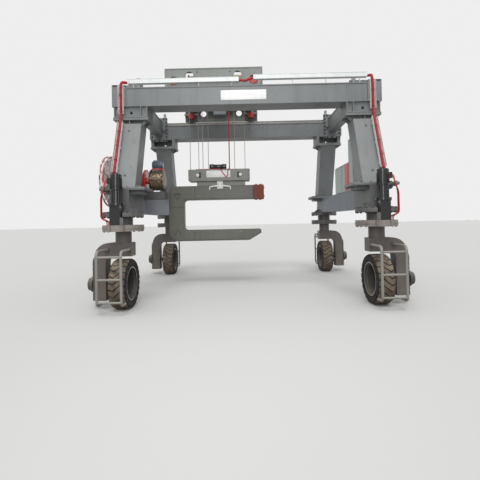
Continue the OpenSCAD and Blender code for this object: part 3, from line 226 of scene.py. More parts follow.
bend = put(wear, "VectorMath", {0: normal, 1: rounded}, operation="DOT_PRODUCT").outputs["Value"]
chips = maths(wear, "MULTIPLY", ramp(wear, bend, 0.985, 0.86), noise(wear, place, 17.0, 7.0, 0.47, 0.60))
spots = noise(wear, place, 8.0, 9.0, 0.655, 0.70)
chips = maths(wear, "MULTIPLY", given["Chips"], maths(wear, "MAXIMUM", chips, spots))
top = ramp(wear, put(wear, "SeparateXYZ", {0: normal}).outputs["Z"], 0.15, 0.9)
low_down = ramp(wear, put(wear, "SeparateXYZ", {0: place}).outputs["Z"], 1.5, 0.0)
settled = maths(wear, "MAXIMUM", top, maths(wear, "MULTIPLY", low_down, 0.55))
settled = maths(wear, "MULTIPLY", settled, noise(wear, place, 3.1, 7.0, 0.25, 0.62))
settled = maths(wear, "MULTIPLY", settled, given["Dusty"])
swing = maths(wear, "MULTIPLY", maths(wear, "SUBTRACT", patches, 0.5), given["Patches"])
fade = maths(wear, "MULTIPLY", streaks, given["Streaks"])
tone = maths(wear, "SUBTRACT", maths(wear, "ADD", swing, 1.0), fade)
toned = put(wear, "VectorMath", {0: given["Colour"], "Scale": tone}, operation="SCALE").outputs[0]
worn = mixed(wear, chips, mixed(wear, settled, toned, given["Dust"]), given["Under"])
matt = maths(wear, "ADD", given["Rough"], maths(wear, "MULTIPLY", settled, 0.3))
matt = maths(wear, "ADD", matt, maths(wear, "MULTIPLY", swing, 0.5))
relief = maths(wear, "SUBTRACT", maths(wear, "MULTIPLY", fine, 0.35), chips)
for socket, title in ((worn, "Colour"), (matt, "Roughness"), (relief, "Height")):
    wear.links.new(socket, result.inputs[title])

RUST, PRIMER, BARE = srgb(104, 66, 46), srgb(120, 96, 84), srgb(150, 148, 144)
DUST = srgb(142, 134, 120)


def surfaced(tree, colour, rough, height, rounding, strength, depth=0.002):
    """Gives a material's shader this colour, roughness and relief, with softly rounded edges."""
    soft = put(tree, "Bevel", {"Radius": rounding}, samples=4).outputs[0]
    bumps = put(tree, "Bump", {"Height": height, "Normal": soft, "Strength": strength, "Distance": depth})
    surface = tree.nodes["Principled BSDF"]
    for socket, title in ((colour, "Base Color"), (rough, "Roughness"), (bumps.outputs[0], "Normal")):
        tree.links.new(socket, surface.inputs[title])
    return surface


def painted(name, colour, under=PRIMER, dust=DUST, chips=0.5, dusty=0.45, streaks=0.16, patches=0.22,
            rough=0.46, metal=0.0, coat=0.0, gloss=0.2, rounding=0.005, bump=0.12):
    """A painted finish: the wear group, with a fine relief."""
    finish, tree = new_finish(name)
    look = tree.nodes.new("ShaderNodeGroup")
    look.node_tree = wear
    values = {"Colour": colour, "Under": under, "Dust": dust, "Chips": chips, "Dusty": dusty,
              "Streaks": streaks, "Patches": patches, "Rough": rough}
    for key, value in values.items():
        look.inputs[key].default_value = value
    surface = surfaced(tree, *look.outputs, rounding, bump)
    surface.inputs["Metallic"].default_value = metal
    surface.inputs["Coat Weight"].default_value = coat
    surface.inputs["Coat Roughness"].default_value = gloss
    return finish


def axes(tree):
    """The X, Y and Z of the point on the crane that is being shaded."""
    return put(tree, "SeparateXYZ", {0: put(tree, "TexCoord", {}).outputs["Object"]}).outputs


def reach(tree, across, along):
    """The distance from an axis, from the two distances square to it."""
    squares = [maths(tree, "MULTIPLY", side, side) for side in (across, along)]
    return maths(tree, "SQRT", maths(tree, "ADD", *squares))


def tinted(finish, share_of, colour):
    """Gives a painted finish another colour where the share that share_of works out is 1."""
    tree = finish.node_tree
    look = next(node for node in tree.nodes if node.type == "GROUP")
    plain = tuple(look.inputs["Colour"].default_value)
    tree.links.new(mixed(tree, share_of(tree), plain, colour), look.inputs["Colour"])
    return finish


def finish_nodes(finish, *names):
    """Gives carried-over nodes a finish."""
    for name in names:
        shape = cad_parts[name].data
        shape.materials.clear()
        shape.materials.append(finish)


def only(*pieces):
    """Selects these pieces and nothing else, with the first one active."""
    bpy.ops.object.select_all(action="DESELECT")
    for piece in pieces:
        piece.select_set(True)
    bpy.context.view_layer.objects.active = pieces[0]


def pick_faces(test):
    """In edit mode, selects the active piece's faces that pass the test, and nothing else."""
    bpy.ops.mesh.select_mode(type="FACE")
    bpy.ops.mesh.select_all(action="DESELECT")
    shape = bmesh.from_edit_mesh(bpy.context.object.data)
    for face in shape.faces:
        face.select_set(test(face))
    bmesh.update_edit_mesh(bpy.context.object.data)


def block(low, high, bevel=0.002):
    """A block between two corners, with its edges broken."""
    low, high = Vector(low), Vector(high)
    bpy.ops.object.select_all(action="DESELECT")
    bpy.ops.mesh.primitive_cube_add(size=1, location=(low + high) / 2)
    piece = bpy.context.object
    piece.scale = high - low
    bpy.ops.object.transform_apply(location=True, rotation=True, scale=True)
    bpy.ops.object.mode_set(mode="EDIT")
    bpy.ops.mesh.select_all(action="SELECT")
    bpy.ops.mesh.bevel(offset=bevel, segments=2, affect="EDGES")
    bpy.ops.object.mode_set(mode="OBJECT")
    return piece


def rod(start, end, diameter, bevel=0.002, sides=24):
    """A round bar between two points, with its end rims broken."""
    start, end = Vector(start), Vector(end)
    bpy.ops.object.select_all(action="DESELECT")
    bpy.ops.mesh.primitive_cylinder_add(vertices=sides, radius=diameter / 2, depth=(end - start).length,
                                        location=(start + end) / 2)
    piece = bpy.context.object
    bpy.ops.object.mode_set(mode="EDIT")
    pick_faces(lambda face: abs(face.normal.z) > 0.9)
    bpy.ops.mesh.bevel(offset=bevel, segments=2, affect="EDGES")
    bpy.ops.object.mode_set(mode="OBJECT")
    piece.rotation_mode = "QUATERNION"
    piece.rotation_quaternion = (end - start).to_track_quat("Z", "Y")
    bpy.ops.object.transform_apply(location=True, rotation=True, scale=True)
    return piece


def joined(pieces):
    """Several pieces as one object."""
    only(*pieces)
    if len(pieces) > 1:
        bpy.ops.object.join()
    return bpy.context.object


def finished(piece, name, finish, smooth):
    """Names a piece and gives it its finish, smooth over edges up to this angle."""
    only(piece)
    bpy.ops.object.transform_apply(location=True, rotation=True, scale=True)
    bpy.ops.object.shade_smooth_by_angle(angle=math.radians(smooth))
    piece.name = piece.data.name = name
    piece.data.materials.clear()
    piece.data.materials.append(finish)
    return piece


def settle(piece, name, finish, body, smooth=35):
    """Finishes a piece that rides on one body."""
    finished(piece, name, finish, smooth)
    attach(piece, body)
    return piece


def copies(master, places):
    """A copy of the master mesh at each place: a point, the way its Z axis goes, and a turn."""
    made = []
    for point, way, turn in places:
        shape = master.data.copy()
        stand = Vector(way).to_track_quat("Z", "Y").to_matrix().to_4x4()
        shape.transform(Matrix.Translation(point) @ stand @ Matrix.Rotation(turn, 4, "Z"))
        made.append(placed(master.name, shape))
    bpy.data.objects.remove(master)
    return joined(made)


def bolt(size):
    """A hexagon head on its washer, standing on the origin, for a thread of this size."""
    washer_t, head_r, head_h, chamfer = 0.2 * size, 0.87 * size, 0.7 * size, 0.12 * size
    bpy.ops.object.select_all(action="DESELECT")
    bpy.ops.mesh.primitive_cylinder_add(vertices=16, radius=size, depth=washer_t,
                                        location=(0, 0, washer_t / 2))
    washer = bpy.context.object
    bpy.ops.mesh.primitive_cylinder_add(vertices=6, radius=head_r, depth=head_h,
                                        location=(0, 0, washer_t + head_h / 2))
    head = bpy.context.object
    bpy.ops.object.mode_set(mode="EDIT")
    pick_faces(lambda face: face.normal.z > 0.9)
    bpy.ops.mesh.bevel(offset=chamfer, segments=1, affect="EDGES")
    bpy.ops.object.mode_set(mode="OBJECT")
    only(head, washer)
    bpy.ops.object.transform_apply(location=True, rotation=True, scale=True)
    return joined([head, washer])


def bolts(name, places, size, finish, body):
    """Bolt heads at these places, each a point and the way that the head stands off."""
    turned = [(point, way, 0.45 * i) for i, (point, way) in enumerate(places)]
    return settle(copies(bolt(size), turned), name, finish, body)


frame_paint = painted("frame_paint", srgb(126, 130, 131))
# The sills' middles, between the legs, are painted lighter and bluer than their ends: painted light, a sky
# reflection painted into the colour.
sill_paint_and_painted_light = tinted(painted("sill_paint_and_painted_light", srgb(96, 98, 99), streaks=0.3),
                    lambda tree: ramp(tree, maths(tree, "ABSOLUTE", axes(tree)["Y"]), *SILL_PAINTED_LIGHT_Y),
                    srgb(108, 116, 126))
bolt_steel = painted("bolt_steel", srgb(92, 95, 95), under=RUST, chips=0.7, metal=0.5, rough=0.4)
finish_nodes(frame_paint, "front_girder", "rear_girder", "tie_beams", "legs")
finish_nodes(sill_paint_and_painted_light, "left_sill", "right_sill")

foot_ends = [(dx, dy) for dx in (-FOOT_END_X, FOOT_END_X) for dy in FOOT_END_Y]
foot_sides = [(dx, dy) for dx in FOOT_SIDE_X for dy in (-FOOT_SIDE_Y, FOOT_SIDE_Y)]
head_ends = [(dx, dy) for dx in (-HEAD_BOLT_X, HEAD_BOLT_X) for dy in HEAD_BOLT_Y]
foot_places, head_places = [], []
for side, end in QUARTERS:
    x, y = side * LEG_X, end * FOOT_Y
    foot_places += [((x + dx, y + dy, LEG_Z), UP) for dx, dy in foot_ends + foot_sides]
    foot_places += [((x + dx, y + dy, SILL_TOP), DOWN) for dx, dy in foot_ends]
    head_places += [((x + dx, end * HEAD_Y + dy, LEG_TOP), DOWN) for dx, dy in head_ends]
bolts("leg_foot_bolts", foot_places, FOOT_BOLT, bolt_steel, "root")
bolts("leg_head_bolts", head_places, HEAD_BOLT, bolt_steel, "root")

# End plates of the tie beams
# Thick plates against the girders' inner sides, each held by a column of bolts on both sides of the
# beam and a row above and below it.
TIE_X, TIE_FACE, TIE_BOLT = 2.680, 1.314, 0.027
TIE_PLATE_Z = (4.2405, 4.9805)
TIE_COLUMN_X, TIE_COLUMN_Z, TIE_BOLT_STEP = (-0.225, 0.225), TIE_PLATE_Z[0] + 0.04, 0.11
TIE_ROW_X, TIE_ROW_Z = (-0.14, 0, 0.14), (TIE_PLATE_Z[0] + 0.035, TIE_PLATE_Z[1] - 0.035)
tie_places = []
for side, end in QUARTERS:
    spots = [(dx, TIE_COLUMN_Z + i * TIE_BOLT_STEP) for i in range(7) for dx in TIE_COLUMN_X]
    spots += [(dx, z) for z in TIE_ROW_Z for dx in TIE_ROW_X]
    tie_places += [((side * TIE_X + dx, end * TIE_FACE, z), (0, -end, 0)) for dx, z in spots]
bolt_black = painted("bolt_black", srgb(44, 44, 44), under=RUST, chips=0.5, dusty=0.3)
bolts("tie_plate_bolts", tie_places, TIE_BOLT, bolt_black, "root")

# Bolts across the girders' splices
# Each end box is held to the girder by bolts through two narrow plates, seen edge on from the front.
SPLICE_X, SPLICE_T, SPLICE_BOLT = 2.690, 0.020, 0.009
SPLICE_Y, SPLICE_BOLT_Z = GIRDER_OUT + 0.002, (4.40, 4.48, 4.59, 4.67)
splice_places = [((side * (SPLICE_X + way * SPLICE_T), end * SPLICE_Y, z), (side * way, 0, 0))
                 for side, end in QUARTERS for way in (-1, 1) for z in SPLICE_BOLT_Z]
bolts("girder_splice_bolts", splice_places, SPLICE_BOLT, bolt_steel, "root")

# Plugs in the legs' outer faces
# Small round caps over the holes by which a leg is lifted, one high and one low on each face.
LEAN = math.atan2(FOOT_Y - HEAD_Y, LEG_TOP - LEG_Z)
LEG_HALF_Y, PLUG_D = 0.21, 0.05
PLUG_SUNK, PLUG_PROUD = -0.01, 0.012
PLUGS = ((0.27, 0.02), (1.36, 0.0))


def on_leg(down, off):
    """The y and z of a point on a leg's outer face, down from its top along it, and off from it."""
    return (HEAD_Y + LEG_HALF_Y + down * math.sin(LEAN) + off * math.cos(LEAN),
            LEG_TOP - down * math.cos(LEAN) + off * math.sin(LEAN))


plugs = []
for side, end in QUARTERS:
    for down, dx in PLUGS:
        x = side * (LEG_X + dx)
        inside, outside = [(x, end * y, z) for y, z in (on_leg(down, PLUG_SUNK), on_leg(down, PLUG_PROUD))]
        plugs.append(rod(inside, outside, PLUG_D, 0.004))
settle(joined(plugs), "leg_plugs", bolt_steel, "root")

# Name plate on the front girder
# A white sheet metal plate, left bare, held flat to the girder's web by rivets.
NAME_PLATE = ((-0.566, 4.42), (0.439, 4.635))
RIVET_X, RIVET_Z, RIVET_D = (-0.54, -0.22, 0.09, 0.413), (4.44, 4.615), 0.014
WEB_Y = -GIRDER_OUT + PLATE_LIP
PLATE_Y, RIVET_Y = WEB_Y - 0.004, WEB_Y - 0.007
white_plate = painted("white_plate", srgb(246, 246, 245), under=srgb(170, 166, 160), dusty=0.04,
                      chips=0.12, streaks=0.03, patches=0.02, rough=0.4)
(plate_x0, plate_z0), (plate_x1, plate_z1) = NAME_PLATE
plate_parts = [block((plate_x0, PLATE_Y, plate_z0), (plate_x1, WEB_Y, plate_z1), 0.001)]
plate_parts += [rod((x, PLATE_Y, z), (x, RIVET_Y, z), RIVET_D, 0.001, 12) for x in RIVET_X for z in RIVET_Z]
settle(joined(plate_parts), "girder_plate", white_plate, "root")

# Weld beads
# The boxes are welded along their corners and to their flanges, which leaves a low rounded bead.
LEG_HALF_X, HEAD_HALF_X = 0.235, 0.37
FOOT_BEAD, CORNER_BEAD, HEAD_BEAD, WEB_BEAD = (0.018, 0.004), (0.008, 0.002), (0.014, 0.003), (0.012, 0.003)
BEAD_SIDES = 8
beads = []
for side, end in QUARTERS:
    y0, y1 = end * (FOOT_Y - LEG_HALF_Y), end * (FOOT_Y + LEG_HALF_Y)
    x0, x1 = side * LEG_X - LEG_HALF_X, side * LEG_X + LEG_HALF_X
    beads += [((x0, y, LEG_Z), (x1, y, LEG_Z), *FOOT_BEAD) for y in (y0, y1)]
    (foot_y, foot_z), (head_y, head_z) = on_leg(1.62, 0), on_leg(0.10, 0)
    for x in (x0, x1):
        beads.append(((x, y0, LEG_Z), (x, y1, LEG_Z), *FOOT_BEAD))
        beads.append(((x, end * foot_y, foot_z), (x, end * head_y, head_z), *CORNER_BEAD))
    inner_x, outer_x = side * (LEG_X - HEAD_HALF_X), side * (LEG_X + HEAD_HALF_X)
    y, z = end * GIRDER_OUT, HEAD_Z + 0.002
    beads.append(((inner_x, y, z), (outer_x, y, z), *HEAD_BEAD))
for end in (-1, 1):
    x, y = SPLICE_X - SPLICE_T, end * (GIRDER_OUT - PLATE_LIP)
    beads += [((-x, y, z), (x, y, z), *WEB_BEAD) for z in (GIRDER_Z + 0.024, GIRDER_TOP - 0.024)]
settle(joined([rod(*bead, BEAD_SIDES) for bead in beads]), "weld_beads", frame_paint, "root")

# Rails
# Two crane rails of rolled steel, bright where the trolley's wheels run and brown at their sides,
# held by clips, with a buffer post at each end.
RAIL_FOOT_OUT, CLIP_BOLT = 1.420, 0.014
CLIP_Y0, CLIP_Y1, CLIP_BOLT_Y = RAIL_FOOT_OUT - 0.012, RAIL_FOOT_OUT + 0.05, RAIL_FOOT_OUT + 0.025
CLIP_HALF_X, CLIP_LOW, CLIP_TOP = 0.035, GIRDER_TOP + 0.002, GIRDER_TOP + 0.026
CLIPS = [(-2.3 + i * 0.575, end) for end in (-1, 1) for i in range(9)]
rail_steel = painted("rail_steel", srgb(158, 156, 152), under=RUST, chips=0.5, metal=0.5, rough=0.4,
                     dusty=0.1)
finish_nodes(rail_steel, "rails")
clips = []
for x, end in CLIPS:
    y0, y1 = sorted((end * CLIP_Y0, end * CLIP_Y1))
    clips.append(block((x - CLIP_HALF_X, y0, CLIP_LOW), (x + CLIP_HALF_X, y1, CLIP_TOP), 0.004))
settle(joined(clips), "rail_clips", frame_paint, "root")
clip_places = [((x, end * CLIP_BOLT_Y, CLIP_TOP), UP) for x, end in CLIPS]
bolts("rail_clip_bolts", clip_places, CLIP_BOLT, bolt_steel, "root")

# Cable trays
# Trays of folded white sheet metal that carry the cables over the front girder and down its ends,
# with a rolled lip along their edges and a row of rivets.
LEFT_TRAY, RIGHT_TRAY = (-2.630, -0.165, 4.830), (0.160, 2.670, 4.870)
TRAY_Y, TRAY_W, TRAY_H, TRAY_LIP = -1.775, 0.100, 0.095, 0.010
TRAY_RIVETS, TRAY_RIVET, TRAY_RIVET_IN = 12, 0.007, 0.05
tray_white = painted("tray_white", srgb(236, 241, 241), under=srgb(170, 172, 168), chips=0.25, dusty=0.1,
                     streaks=0.08, patches=0.06, rough=0.42)
finish_nodes(tray_white, "cable_trays")
lips, rivet_places = [], []
for x0, x1, z in (LEFT_TRAY, RIGHT_TRAY):
    for y in (TRAY_Y - TRAY_W / 2, TRAY_Y + TRAY_W / 2):
        lips.append(rod((x0, y, z + TRAY_H), (x1, y, z + TRAY_H), TRAY_LIP, 0.002, 10))
    step = (x1 - x0 - 2 * TRAY_RIVET_IN) / (TRAY_RIVETS - 1)
    for i in range(TRAY_RIVETS):
        rise = TRAY_H * (0.35 if i % 2 else 0.7)
        rivet_places.append(((x0 + TRAY_RIVET_IN + i * step, TRAY_Y - TRAY_W / 2, z + rise), (0, -1, 0)))
settle(joined(lips), "tray_lips", tray_white, "root")
bolts("tray_rivets", rivet_places, TRAY_RIVET, tray_white, "root")

# Red cable bundles
# Each bundle is seven rubber cables, laid together with a slow twist and held by ties. They lie in the
# trays, bend over the girder's ends, and run down the legs to the steering motors.
BUNDLE_D, STRAND_D, THIN_D, TIE_W = 0.066, 0.0205, 0.018, 0.016
BUNDLE_RISE, BUNDLE_LAY, MIDDLE_LAY = 0.0373, 1.3, 0.9
BUNDLE_BEND, THIN_BEND = 0.05, 0.06
BEND_STEPS, BEND_SHARE, BUNDLE_STEP, THIN_STEP = 6, 0.45, 0.06, 0.05
DROP_X, DROP_Y, DROP_LOW = 2.770, 1.8573, 4.150
OFF_LEG, TIP = 0.0923, 1.355
FAR_X, MOTOR_LINE, CABLE_STEP, GEAR_TOP = 2.930, 2.710, 0.032, 1.705
LEG_TIES, DROP_TIES = (0.02, 0.34, 0.69, 1.04, 1.34), (4.56, 4.20)
cable_red = painted("cable_red", srgb(176, 34, 40), under=srgb(120, 24, 30), dust=srgb(188, 120, 112),
                    chips=0.25, dusty=0.3, streaks=0.12, patches=0.2, rough=0.42, rounding=0.002)
tie_red = painted("tie_red", srgb(132, 34, 38), chips=0.1, dusty=0.3)


def rounded_route(points, cut):
    """The route with each corner rounded over the length cut, in short steps."""
    points = [Vector(p) for p in points]
    route = [points[0]]
    for before, corner, after in zip(points, points[1:], points[2:]):
        into, out = before - corner, after - corner
        into = into.normalized() * min(cut, into.length * BEND_SHARE)
        out = out.normalized() * min(cut, out.length * BEND_SHARE)
        shares = [t / BEND_STEPS for t in range(BEND_STEPS + 1)]
        route += [corner + into * (1 - share) ** 2 + out * share ** 2 for share in shares]
    return route + [points[-1]]


def divided(route, step):
    """The same route with points at most a step apart."""
    fine_route = [route[0]]
    for a, b in zip(route, route[1:]):
        count = max(1, math.ceil((b - a).length / step))
        fine_route += [a.lerp(b, (i + 1) / count) for i in range(count)]
    return fine_route


def tube(route, diameter):
    """A round cable along a route, as a mesh with closed ends."""
    line = bpy.data.curves.new("tube", "CURVE")
    line.dimensions = "3D"
    line.bevel_depth = diameter / 2
    line.bevel_resolution = 3
    line.use_fill_caps = True
    spline = line.splines.new("POLY")
    spline.points.add(len(route) - 1)
    for point, place in zip(spline.points, route):
        point.co = (*place, 1)
    only(placed("tube", line))
    bpy.ops.object.convert(target="MESH")
    return bpy.context.object


def strands(route, lay, count=6):
    """Cables laid round one in the middle of a route, that turn once per lay."""
    route = divided(route, BUNDLE_STEP)
    side = Vector((0, 0, 1)) if abs((route[1] - route[0]).normalized().z) < 0.8 else Vector((1, 0, 0))
    frames, done = [], 0.0
    for i, point in enumerate(route):
        along = (route[min(i + 1, len(route) - 1)] - route[max(i - 1, 0)]).normalized()
        side = (side - along * side.dot(along)).normalized()
        frames.append((point, side.copy(), along.cross(side), done))
        if i + 1 < len(route):
            done += (route[i + 1] - point).length
    radius = STRAND_D / 2 / math.sin(math.pi / count)
    pieces = [tube(route, STRAND_D)]
    for k in range(count):
        around = []
        for point, a, b, length in frames:
            angle = 2 * math.pi * (k / count + length / lay)
            around.append(point + radius * (a * math.cos(angle) + b * math.sin(angle)))
        pieces.append(tube(around, STRAND_D))
    return pieces


def down_leg(down):
    """A point of the bundle's route where it lies on the front leg's tray."""
    return Vector((DROP_X, *on_leg(down, OFF_LEG)))


def in_front(points, side):
    """Points of the rear right quarter, moved to the front and to this side."""
    return [Vector((side * x, -y, z)) for x, y, z in points]


for name, side, x0, tray_z in (("left", -1, 2.570, LEFT_TRAY[2]), ("right", 1, 2.610, RIGHT_TRAY[2])):
    z = tray_z + BUNDLE_RISE
    route = [(x0, -TRAY_Y, z), (x0 + 0.120, -TRAY_Y, z), (DROP_X - 0.020, DROP_Y, z - 0.020),
             (DROP_X, DROP_Y, 4.725), (DROP_X, DROP_Y, DROP_LOW), down_leg(0.095), down_leg(TIP)]
    pieces = strands(rounded_route(in_front(route, side), BUNDLE_BEND), BUNDLE_LAY)
    for i in range(3):
        y = MOTOR_LINE - 0.060 - CABLE_STEP * i
        shift = Vector((CABLE_STEP * (i - 1), 0, 0))
        thin = [down_leg(TIP - 0.004) + shift, down_leg(TIP + 0.090) + shift,
                (FAR_X - 0.070 + CABLE_STEP * i, y - 0.150, LEG_Z + 0.150),
                (FAR_X, y, SILL_TOP - 0.150), (FAR_X, y, 1.840),
                (FAR_X - 0.120, y - CABLE_STEP * i, GEAR_TOP + 0.080),
                (FAR_X - 0.120, y - CABLE_STEP * i, GEAR_TOP)]
        pieces.append(tube(divided(rounded_route(in_front(thin, side), THIN_BEND), THIN_STEP), THIN_D))
    bundle = settle(joined(pieces), name + "_cable_bundle", cable_red, "root", 60)
    if side < 0:
        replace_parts(bundle, "cable_bundles")
    held = [(down_leg(down), down_leg(down + TIE_W)) for down in LEG_TIES]
    held += [((DROP_X, DROP_Y, z), (DROP_X, DROP_Y, z + TIE_W)) for z in DROP_TIES]
    ties = [rod(*in_front(span, side), BUNDLE_D + 0.006, 0.002) for span in held]
    settle(joined(ties), name + "_cable_ties", tie_red, "root")

left_z, right_z = LEFT_TRAY[2], RIGHT_TRAY[2]
middle = [(-0.225, left_z + BUNDLE_RISE), (-0.105, left_z + BUNDLE_RISE), (0.0, left_z + 0.0213),
          (0.045, right_z + 0.0133), (0.110, right_z + BUNDLE_RISE), (0.300, right_z + BUNDLE_RISE)]
middle = rounded_route([(x, TRAY_Y, z) for x, z in middle], BUNDLE_BEND)
settle(joined(strands(middle, MIDDLE_LAY)), "middle_cable_bundle", cable_red, "root", 60)

# Steering gear
# A cast gear housing under each sill's end, bolted through two round flanges, and a black steering
# motor with its square gearbox, flange and tie rods on the housing's outer side.
DISC_Z, DISC_BOLT_R, HOUSING_FOOT = 1.870, 0.382, 1.580
MOTOR_OUT, MOTOR_BOLT_R, MOTOR_FLANGE_TOP, MOTOR_FLANGE_LOW = 0.400, 0.134, 2.135, 2.0903
DISC_BOLT, HOUSING_BOLT, MOTOR_BOLT = 0.024, 0.016, 0.013
REAR_SHADE_Y, TOP_SHADE_Z = (0.0, 1.0), (GEAR_TOP + 0.006, GEAR_TOP + 0.010)
dark_paint = painted("dark_paint", srgb(74, 74, 73), dusty=0.6, chips=0.6)
# The rear housings, and the top of every housing up against the sill, are painted darker: painted shade.
housing_paint_and_shade = tinted(painted("housing_paint_and_shade", srgb(138, 132, 127), dusty=0.6, chips=0.6, under=RUST),
                       lambda tree: maths(tree, "MAXIMUM", ramp(tree, axes(tree)["Y"], *REAR_SHADE_Y),
                                          ramp(tree, axes(tree)["Z"], *TOP_SHADE_Z)),
                       srgb(94, 91, 88))
motor_black = painted("motor_black", srgb(28, 28, 29), under=srgb(60, 60, 60), dust=srgb(84, 82, 78),
                      chips=0.15, dusty=0.12, rough=0.3, coat=0.7, gloss=0.06, patches=0.1, streaks=0.1)
motor_black.node_tree.nodes["Principled BSDF"].inputs["Specular IOR Level"].default_value = 0.2
finish_nodes(housing_paint_and_shade, "steering_gears")
finish_nodes(motor_black, "steering_motors")


def circle(radius, count, first=0, step=None):
    """Points round the origin as pairs, from an angle in degrees on, evenly or at this step."""
    step = step or 360 / count
    angles = [math.radians(first + step * i) for i in range(count)]
    return [(radius * math.cos(angle), radius * math.sin(angle)) for angle in angles]


disc_places, flange_places, housing_places = [], [], []
for side, end in QUARTERS:
    for out, dy in circle(DISC_BOLT_R, 7, -60, 20):
        for half in (-1, 1):
            x, y = side * TRACK + half * out, end * BASE + dy
            disc_places += [((x, y, SILL_Z), UP), ((x, y, DISC_Z), DOWN)]
            housing_places.append(((x, y, HOUSING_FOOT), DOWN))
    for dx, dy in circle(MOTOR_BOLT_R, 8, 22.5):
        x, y = side * TRACK + dx, end * (BASE + MOTOR_OUT) + dy
        flange_places += [((x, y, MOTOR_FLANGE_TOP), UP), ((x, y, MOTOR_FLANGE_LOW), DOWN)]
bolts("steering_disc_bolts", disc_places, DISC_BOLT, bolt_black, "root")
bolts("steering_housing_bolts", housing_places, HOUSING_BOLT, bolt_black, "root")
bolts("steering_motor_bolts", flange_places, MOTOR_BOLT, bolt_black, "root")

# Caps and cooling ribs of the steering motors
# Each motor has a fan cover with a rolled edge on top, and a ring of narrow cooling ribs.
MOTOR_BANDS = ((2.6883, 2.700, 0.190, 0.005), (2.610, 2.622, 0.232, 0.003), (2.392, 2.408, 0.236, 0.004))
MOTOR_RIB = ((0.110, -0.0025, 2.412), (0.1195, 0.0025, 2.606))


def fins(low, high, bevel, centre, axis, count):
    """Thin ribs, each the block between low and high turned further round an axis at the centre."""
    made = []
    for i in range(count):
        fin = block(low, high, bevel)
        turn = Matrix.Rotation(math.radians(360 / count * i), 4, axis)
        fin.data.transform(Matrix.Translation(centre) @ turn)
        made.append(fin)
    return made


motor_trim = []
for side, end in QUARTERS:
    x, y = side * TRACK, end * (BASE + MOTOR_OUT)
    motor_trim += [rod((x, y, z0), (x, y, z1), width, bevel, 40) for z0, z1, width, bevel in MOTOR_BANDS]
    motor_trim += fins(*MOTOR_RIB, 0.001, (x, y, 0), "Z", 36)
settle(joined(motor_trim), "steering_motor_ribs", motor_black, "root")

# Wheel sets
# Each tyre is a pneumatic industrial tyre on a steel rim. It turns in a fork with one arm, which
# carries the drive case and the hub drive, and a guard of bent tube stands in front of it.
CASE_OUT, FLANGE_OUT, HUB_OUT = 0.605, 0.645, 0.709
AXLE_Z, RIM_HUB_X = 0.505, 0.054
FLANGE_BOLT_R, HUB_BOLT_R, NUT_R = 0.146, 0.095, 0.118
CASE_BOLT_Y, CASE_BOLT_Z = (-0.086, 0.086), (0.23, 0.31, 0.72, 0.82, 0.92)
HUB_BOLT, WHEEL_NUT = 0.013, 0.017
WALL_RIBS = ((0.362, 0.006), (0.398, 0.004), (0.408, 0.004))
WALL_R, WALL_OUT, WALL_SLOPE = 0.360, 0.1645, 0.05
RIB_SUNK, RIB_PROUD, RIB_FLAT = 0.004, 0.0035, 0.4
RIM_LIP_R, TREAD_R = (0.318, 0.326), (0.487, 0.496)
MERGE = 0.00005
fork_paint = painted("fork_paint", srgb(94, 88, 85), under=RUST, chips=0.6, dusty=0.7)
guard_grey = painted("guard_grey", srgb(142, 141, 136), under=RUST, chips=0.45, dusty=0.35, rough=0.4)


def from_axle(tree):
    """The distance from the axle of the nearest wheel."""
    return reach(tree, maths(tree, "SUBTRACT", maths(tree, "ABSOLUTE", axes(tree)["Y"]), BASE),
                 maths(tree, "SUBTRACT", axes(tree)["Z"], AXLE_Z))


rim_paint = tinted(painted("rim_paint", srgb(52, 53, 54), under=RUST, chips=0.5, dusty=0.7),
                   lambda tree: ramp(tree, from_axle(tree), *RIM_LIP_R), srgb(150, 151, 150))

# The rubber is dark brown black in its grooves and on its walls, and dusty brown on the blocks.
tyre_rubber, tree = new_finish("tyre_rubber")
place = put(tree, "TexCoord", {}).outputs["Object"]
block_top = ramp(tree, from_axle(tree), *TREAD_R)
scuffs = noise(tree, place, 6.0, 8.0, 0.3, 0.66)
wall_tone = mixed(tree, noise(tree, place, 4.0, 6.0, 0.35, 0.7), srgb(20, 18, 17), srgb(44, 39, 35))
block_tone = mixed(tree, scuffs, srgb(66, 58, 51), srgb(136, 123, 106))
surfaced(tree, mixed(tree, block_top, wall_tone, block_tone),
         maths(tree, "ADD", maths(tree, "MULTIPLY", scuffs, 0.2), 0.7),
         noise(tree, place, 90.0, 4.0), rounding=0.008, strength=0.25)


def swept(profile, axis, steps, angle=2 * math.pi, rise=0.0):
    """A closed profile turned about an axis of the origin, or wound along it with its ends closed."""
    count = len(profile)
    shape = bpy.data.meshes.new("swept")
    shape.from_pydata(profile, [(k, (k + 1) % count) for k in range(count)], [])
    piece = placed("swept", shape)
    only(piece)
    wound = piece.modifiers.new("wound", "SCREW")
    wound.axis, wound.angle, wound.screw_offset = axis, angle, rise
    wound.steps = wound.render_steps = steps
    wound.use_merge_vertices = not rise
    bpy.ops.object.modifier_apply(modifier="wound")
    bpy.ops.object.mode_set(mode="EDIT")
    bpy.ops.mesh.select_all(action="SELECT")
    bpy.ops.mesh.remove_doubles(threshold=MERGE)
    if rise:
        bpy.ops.mesh.fill_holes(sides=count)
    bpy.ops.mesh.normals_make_consistent(inside=False)
    bpy.ops.object.mode_set(mode="OBJECT")
    return piece


